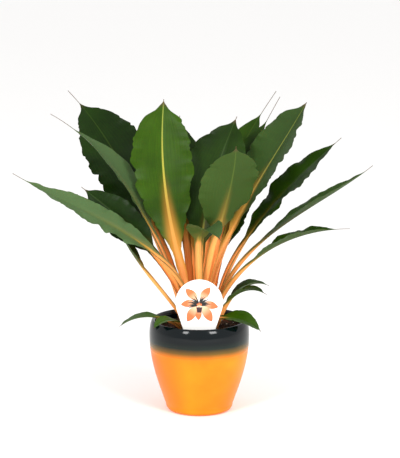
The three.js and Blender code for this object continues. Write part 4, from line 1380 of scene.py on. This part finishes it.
def picture_tree():
    tree, given = new_tree("ring of pointed shapes", {
        "Length": "Float", "Width": "Float", "Start": "Float", "Droop": "Float",
        "Material": "Material"})
    ball = add(tree, "GeometryNodeMeshUVSphere", {"Segments": 16, "Rings": 12, "Radius": 0.5})
    tipped = add(tree, "GeometryNodeTransform",
                 {"Geometry": ball, "Rotation": (0, math.pi / 2, 0), "Translation": (0.5, 0, 0)})
    spot = add(tree, "ShaderNodeSeparateXYZ", {0: add(tree, "GeometryNodeInputPosition")})
    out = spot.outputs["X"]
    rest = add(tree, "ShaderNodeMath", {0: 1.0, 1: out}, operation="SUBTRACT")
    bulge = add(tree, "ShaderNodeMath", {0: out, 1: rest}, operation="MULTIPLY")
    pointed = add(tree, "ShaderNodeMath", {0: bulge, 1: 0.35}, operation="POWER")
    wide = add(tree, "ShaderNodeMath", {0: spot.outputs["Y"], 1: pointed}, operation="MULTIPLY")
    square = add(tree, "ShaderNodeMath", {0: out, 1: out}, operation="MULTIPLY")
    width = add(tree, "ShaderNodeMath", {0: given["Width"], 1: 1.6}, operation="MULTIPLY")
    droop = add(tree, "ShaderNodeMath", {0: given["Droop"], 1: width}, operation="DIVIDE")
    bend = add(tree, "ShaderNodeMath", {0: square, 1: droop, 2: wide}, operation="MULTIPLY_ADD")
    lens = add(tree, "GeometryNodeSetPosition", {
        "Geometry": tipped,
        "Position": add(tree, "ShaderNodeCombineXYZ",
                        {"X": out, "Y": bend, "Z": spot.outputs["Z"]})})
    marked = add(tree, "GeometryNodeStoreNamedAttribute",
                 {"Geometry": lens, "Name": "out", "Value": out}, data_type="FLOAT",
                 domain="POINT")
    sized = add(tree, "GeometryNodeTransform", {
        "Geometry": marked, "Translation": add(tree, "ShaderNodeCombineXYZ", {"X": given["Start"]}),
        "Scale": add(tree, "ShaderNodeCombineXYZ",
                     {"X": given["Length"], "Y": width, "Z": 2 * INK_HEIGHT})})
    bearing = add(tree, "GeometryNodeInputNamedAttribute", {"Name": "bearing"}, data_type="FLOAT")
    size = add(tree, "GeometryNodeInputNamedAttribute", {"Name": "size"},
               data_type="FLOAT_VECTOR")
    ring = add(tree, "GeometryNodeInstanceOnPoints", {
        "Points": given["Geometry"], "Instance": sized, "Scale": size,
        "Rotation": add(tree, "ShaderNodeCombineXYZ", {"Z": bearing})})
    # laid flat in the tree, then stood up to face forwards
    upright = add(tree, "GeometryNodeTransform",
                  {"Geometry": ring, "Rotation": (math.pi / 2, 0, 0)})
    end_tree(tree, upright, given["Material"])
    return tree


def print_ring(name, centre, bearings, sizes, length, width, start, droop, layer, material, tree):
    """Every shape bends by `droop`, mirrored on the left, and lies `layer` coats of ink up."""
    spots = np.tile([centre[0], centre[1], layer * INK_HEIGHT - LABEL_FRONT], (len(bearings), 1))
    mirror = np.where(np.cos(np.radians(bearings)) < 0, -1, 1)
    scales = np.c_[sizes, sizes * mirror, np.ones(len(bearings))]
    points = polyline(name + " points", spots, bearing=np.radians(bearings), size=scales)
    piece = bake(name, points, tree, {
        "Length": length, "Width": width, "Start": start, "Droop": droop, "Material": material})
    piece.data.materials.clear()
    piece.data.materials.append(material)
    close_and_orient(piece, distance=0)
    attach(piece, ROOT_BODY)
    print(name, len(piece.data.polygons), "faces")


# %% [markdown]
# The picture is printed in three passes of the same tree and one small plate for the pot. A
# later pass lies a coat higher, so each shape stays visible where two of them meet.

# %% Print the picture
printing = picture_tree()
orange_ink = printed_ink("orange screen ink", "F4C19A", "DC7240", "8A5E4C")
grey_ink = printed_ink("dark grey screen ink", "1C1C1A", "22221F", "3A3A34")
plum_ink = printed_ink("plum screen ink", "3A2228", "3A2228", "3A2228")
RING_BEARINGS = np.array([127, 62, 178, -6, 232, -50, 262])
RING_SIZES = np.array([1.0, 0.98, 0.92, 0.96, 1.1, 1.12, 0.86])
FAN_BEARINGS = np.arange(14, 180, 9.5)
FAN_SIZES = 0.8 + 0.2 * np.sin(np.arange(len(FAN_BEARINGS)) * 1.9) ** 2
HEART_BEARINGS = np.array([60, 90, 120])
HEART_SIZES = np.array([0.9, 1.0, 0.9])
PRINT_POT_TOP = HEAD_LEVEL - 6.5 * MM
PRINT_POT_FOOT = HEAD_LEVEL - 14 * MM
PRINT_POT_HALF = (4.1 * MM, 2.8 * MM)  # at the top and at the foot
PRINT_POT_COATS = 3
print_ring("printed_orange_leaves", (0, HEAD_LEVEL - 1 * MM), RING_BEARINGS, RING_SIZES,
           length=23 * MM, width=11.5 * MM, start=4.5 * MM, droop=-2.5 * MM,
           layer=0, material=orange_ink, tree=printing)
print_ring("printed_plant", (0, HEAD_LEVEL - 5 * MM), FAN_BEARINGS, FAN_SIZES,
           length=15.5 * MM, width=1.8 * MM, start=1.5 * MM, droop=-4.5 * MM,
           layer=1, material=grey_ink, tree=printing)
print_ring("printed_plant_heart", (0, PRINT_POT_TOP), HEART_BEARINGS, HEART_SIZES,
           length=6.5 * MM, width=3.4 * MM, start=0.5 * MM, droop=0.0,
           layer=2, material=orange_ink, tree=printing)
half_top, half_foot = PRINT_POT_HALF
small_pot = flat_plate(
    "printed_small_pot",
    [(-half_foot, PRINT_POT_FOOT), (half_foot, PRINT_POT_FOOT),
     (half_top, PRINT_POT_TOP), (-half_top, PRINT_POT_TOP)],
    LABEL_FRONT - PRINT_POT_COATS * INK_HEIGHT, PRINT_POT_COATS * INK_HEIGHT + 0.2 * MM,
    0.04 * MM, plum_ink)
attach(small_pot, ROOT_BODY)
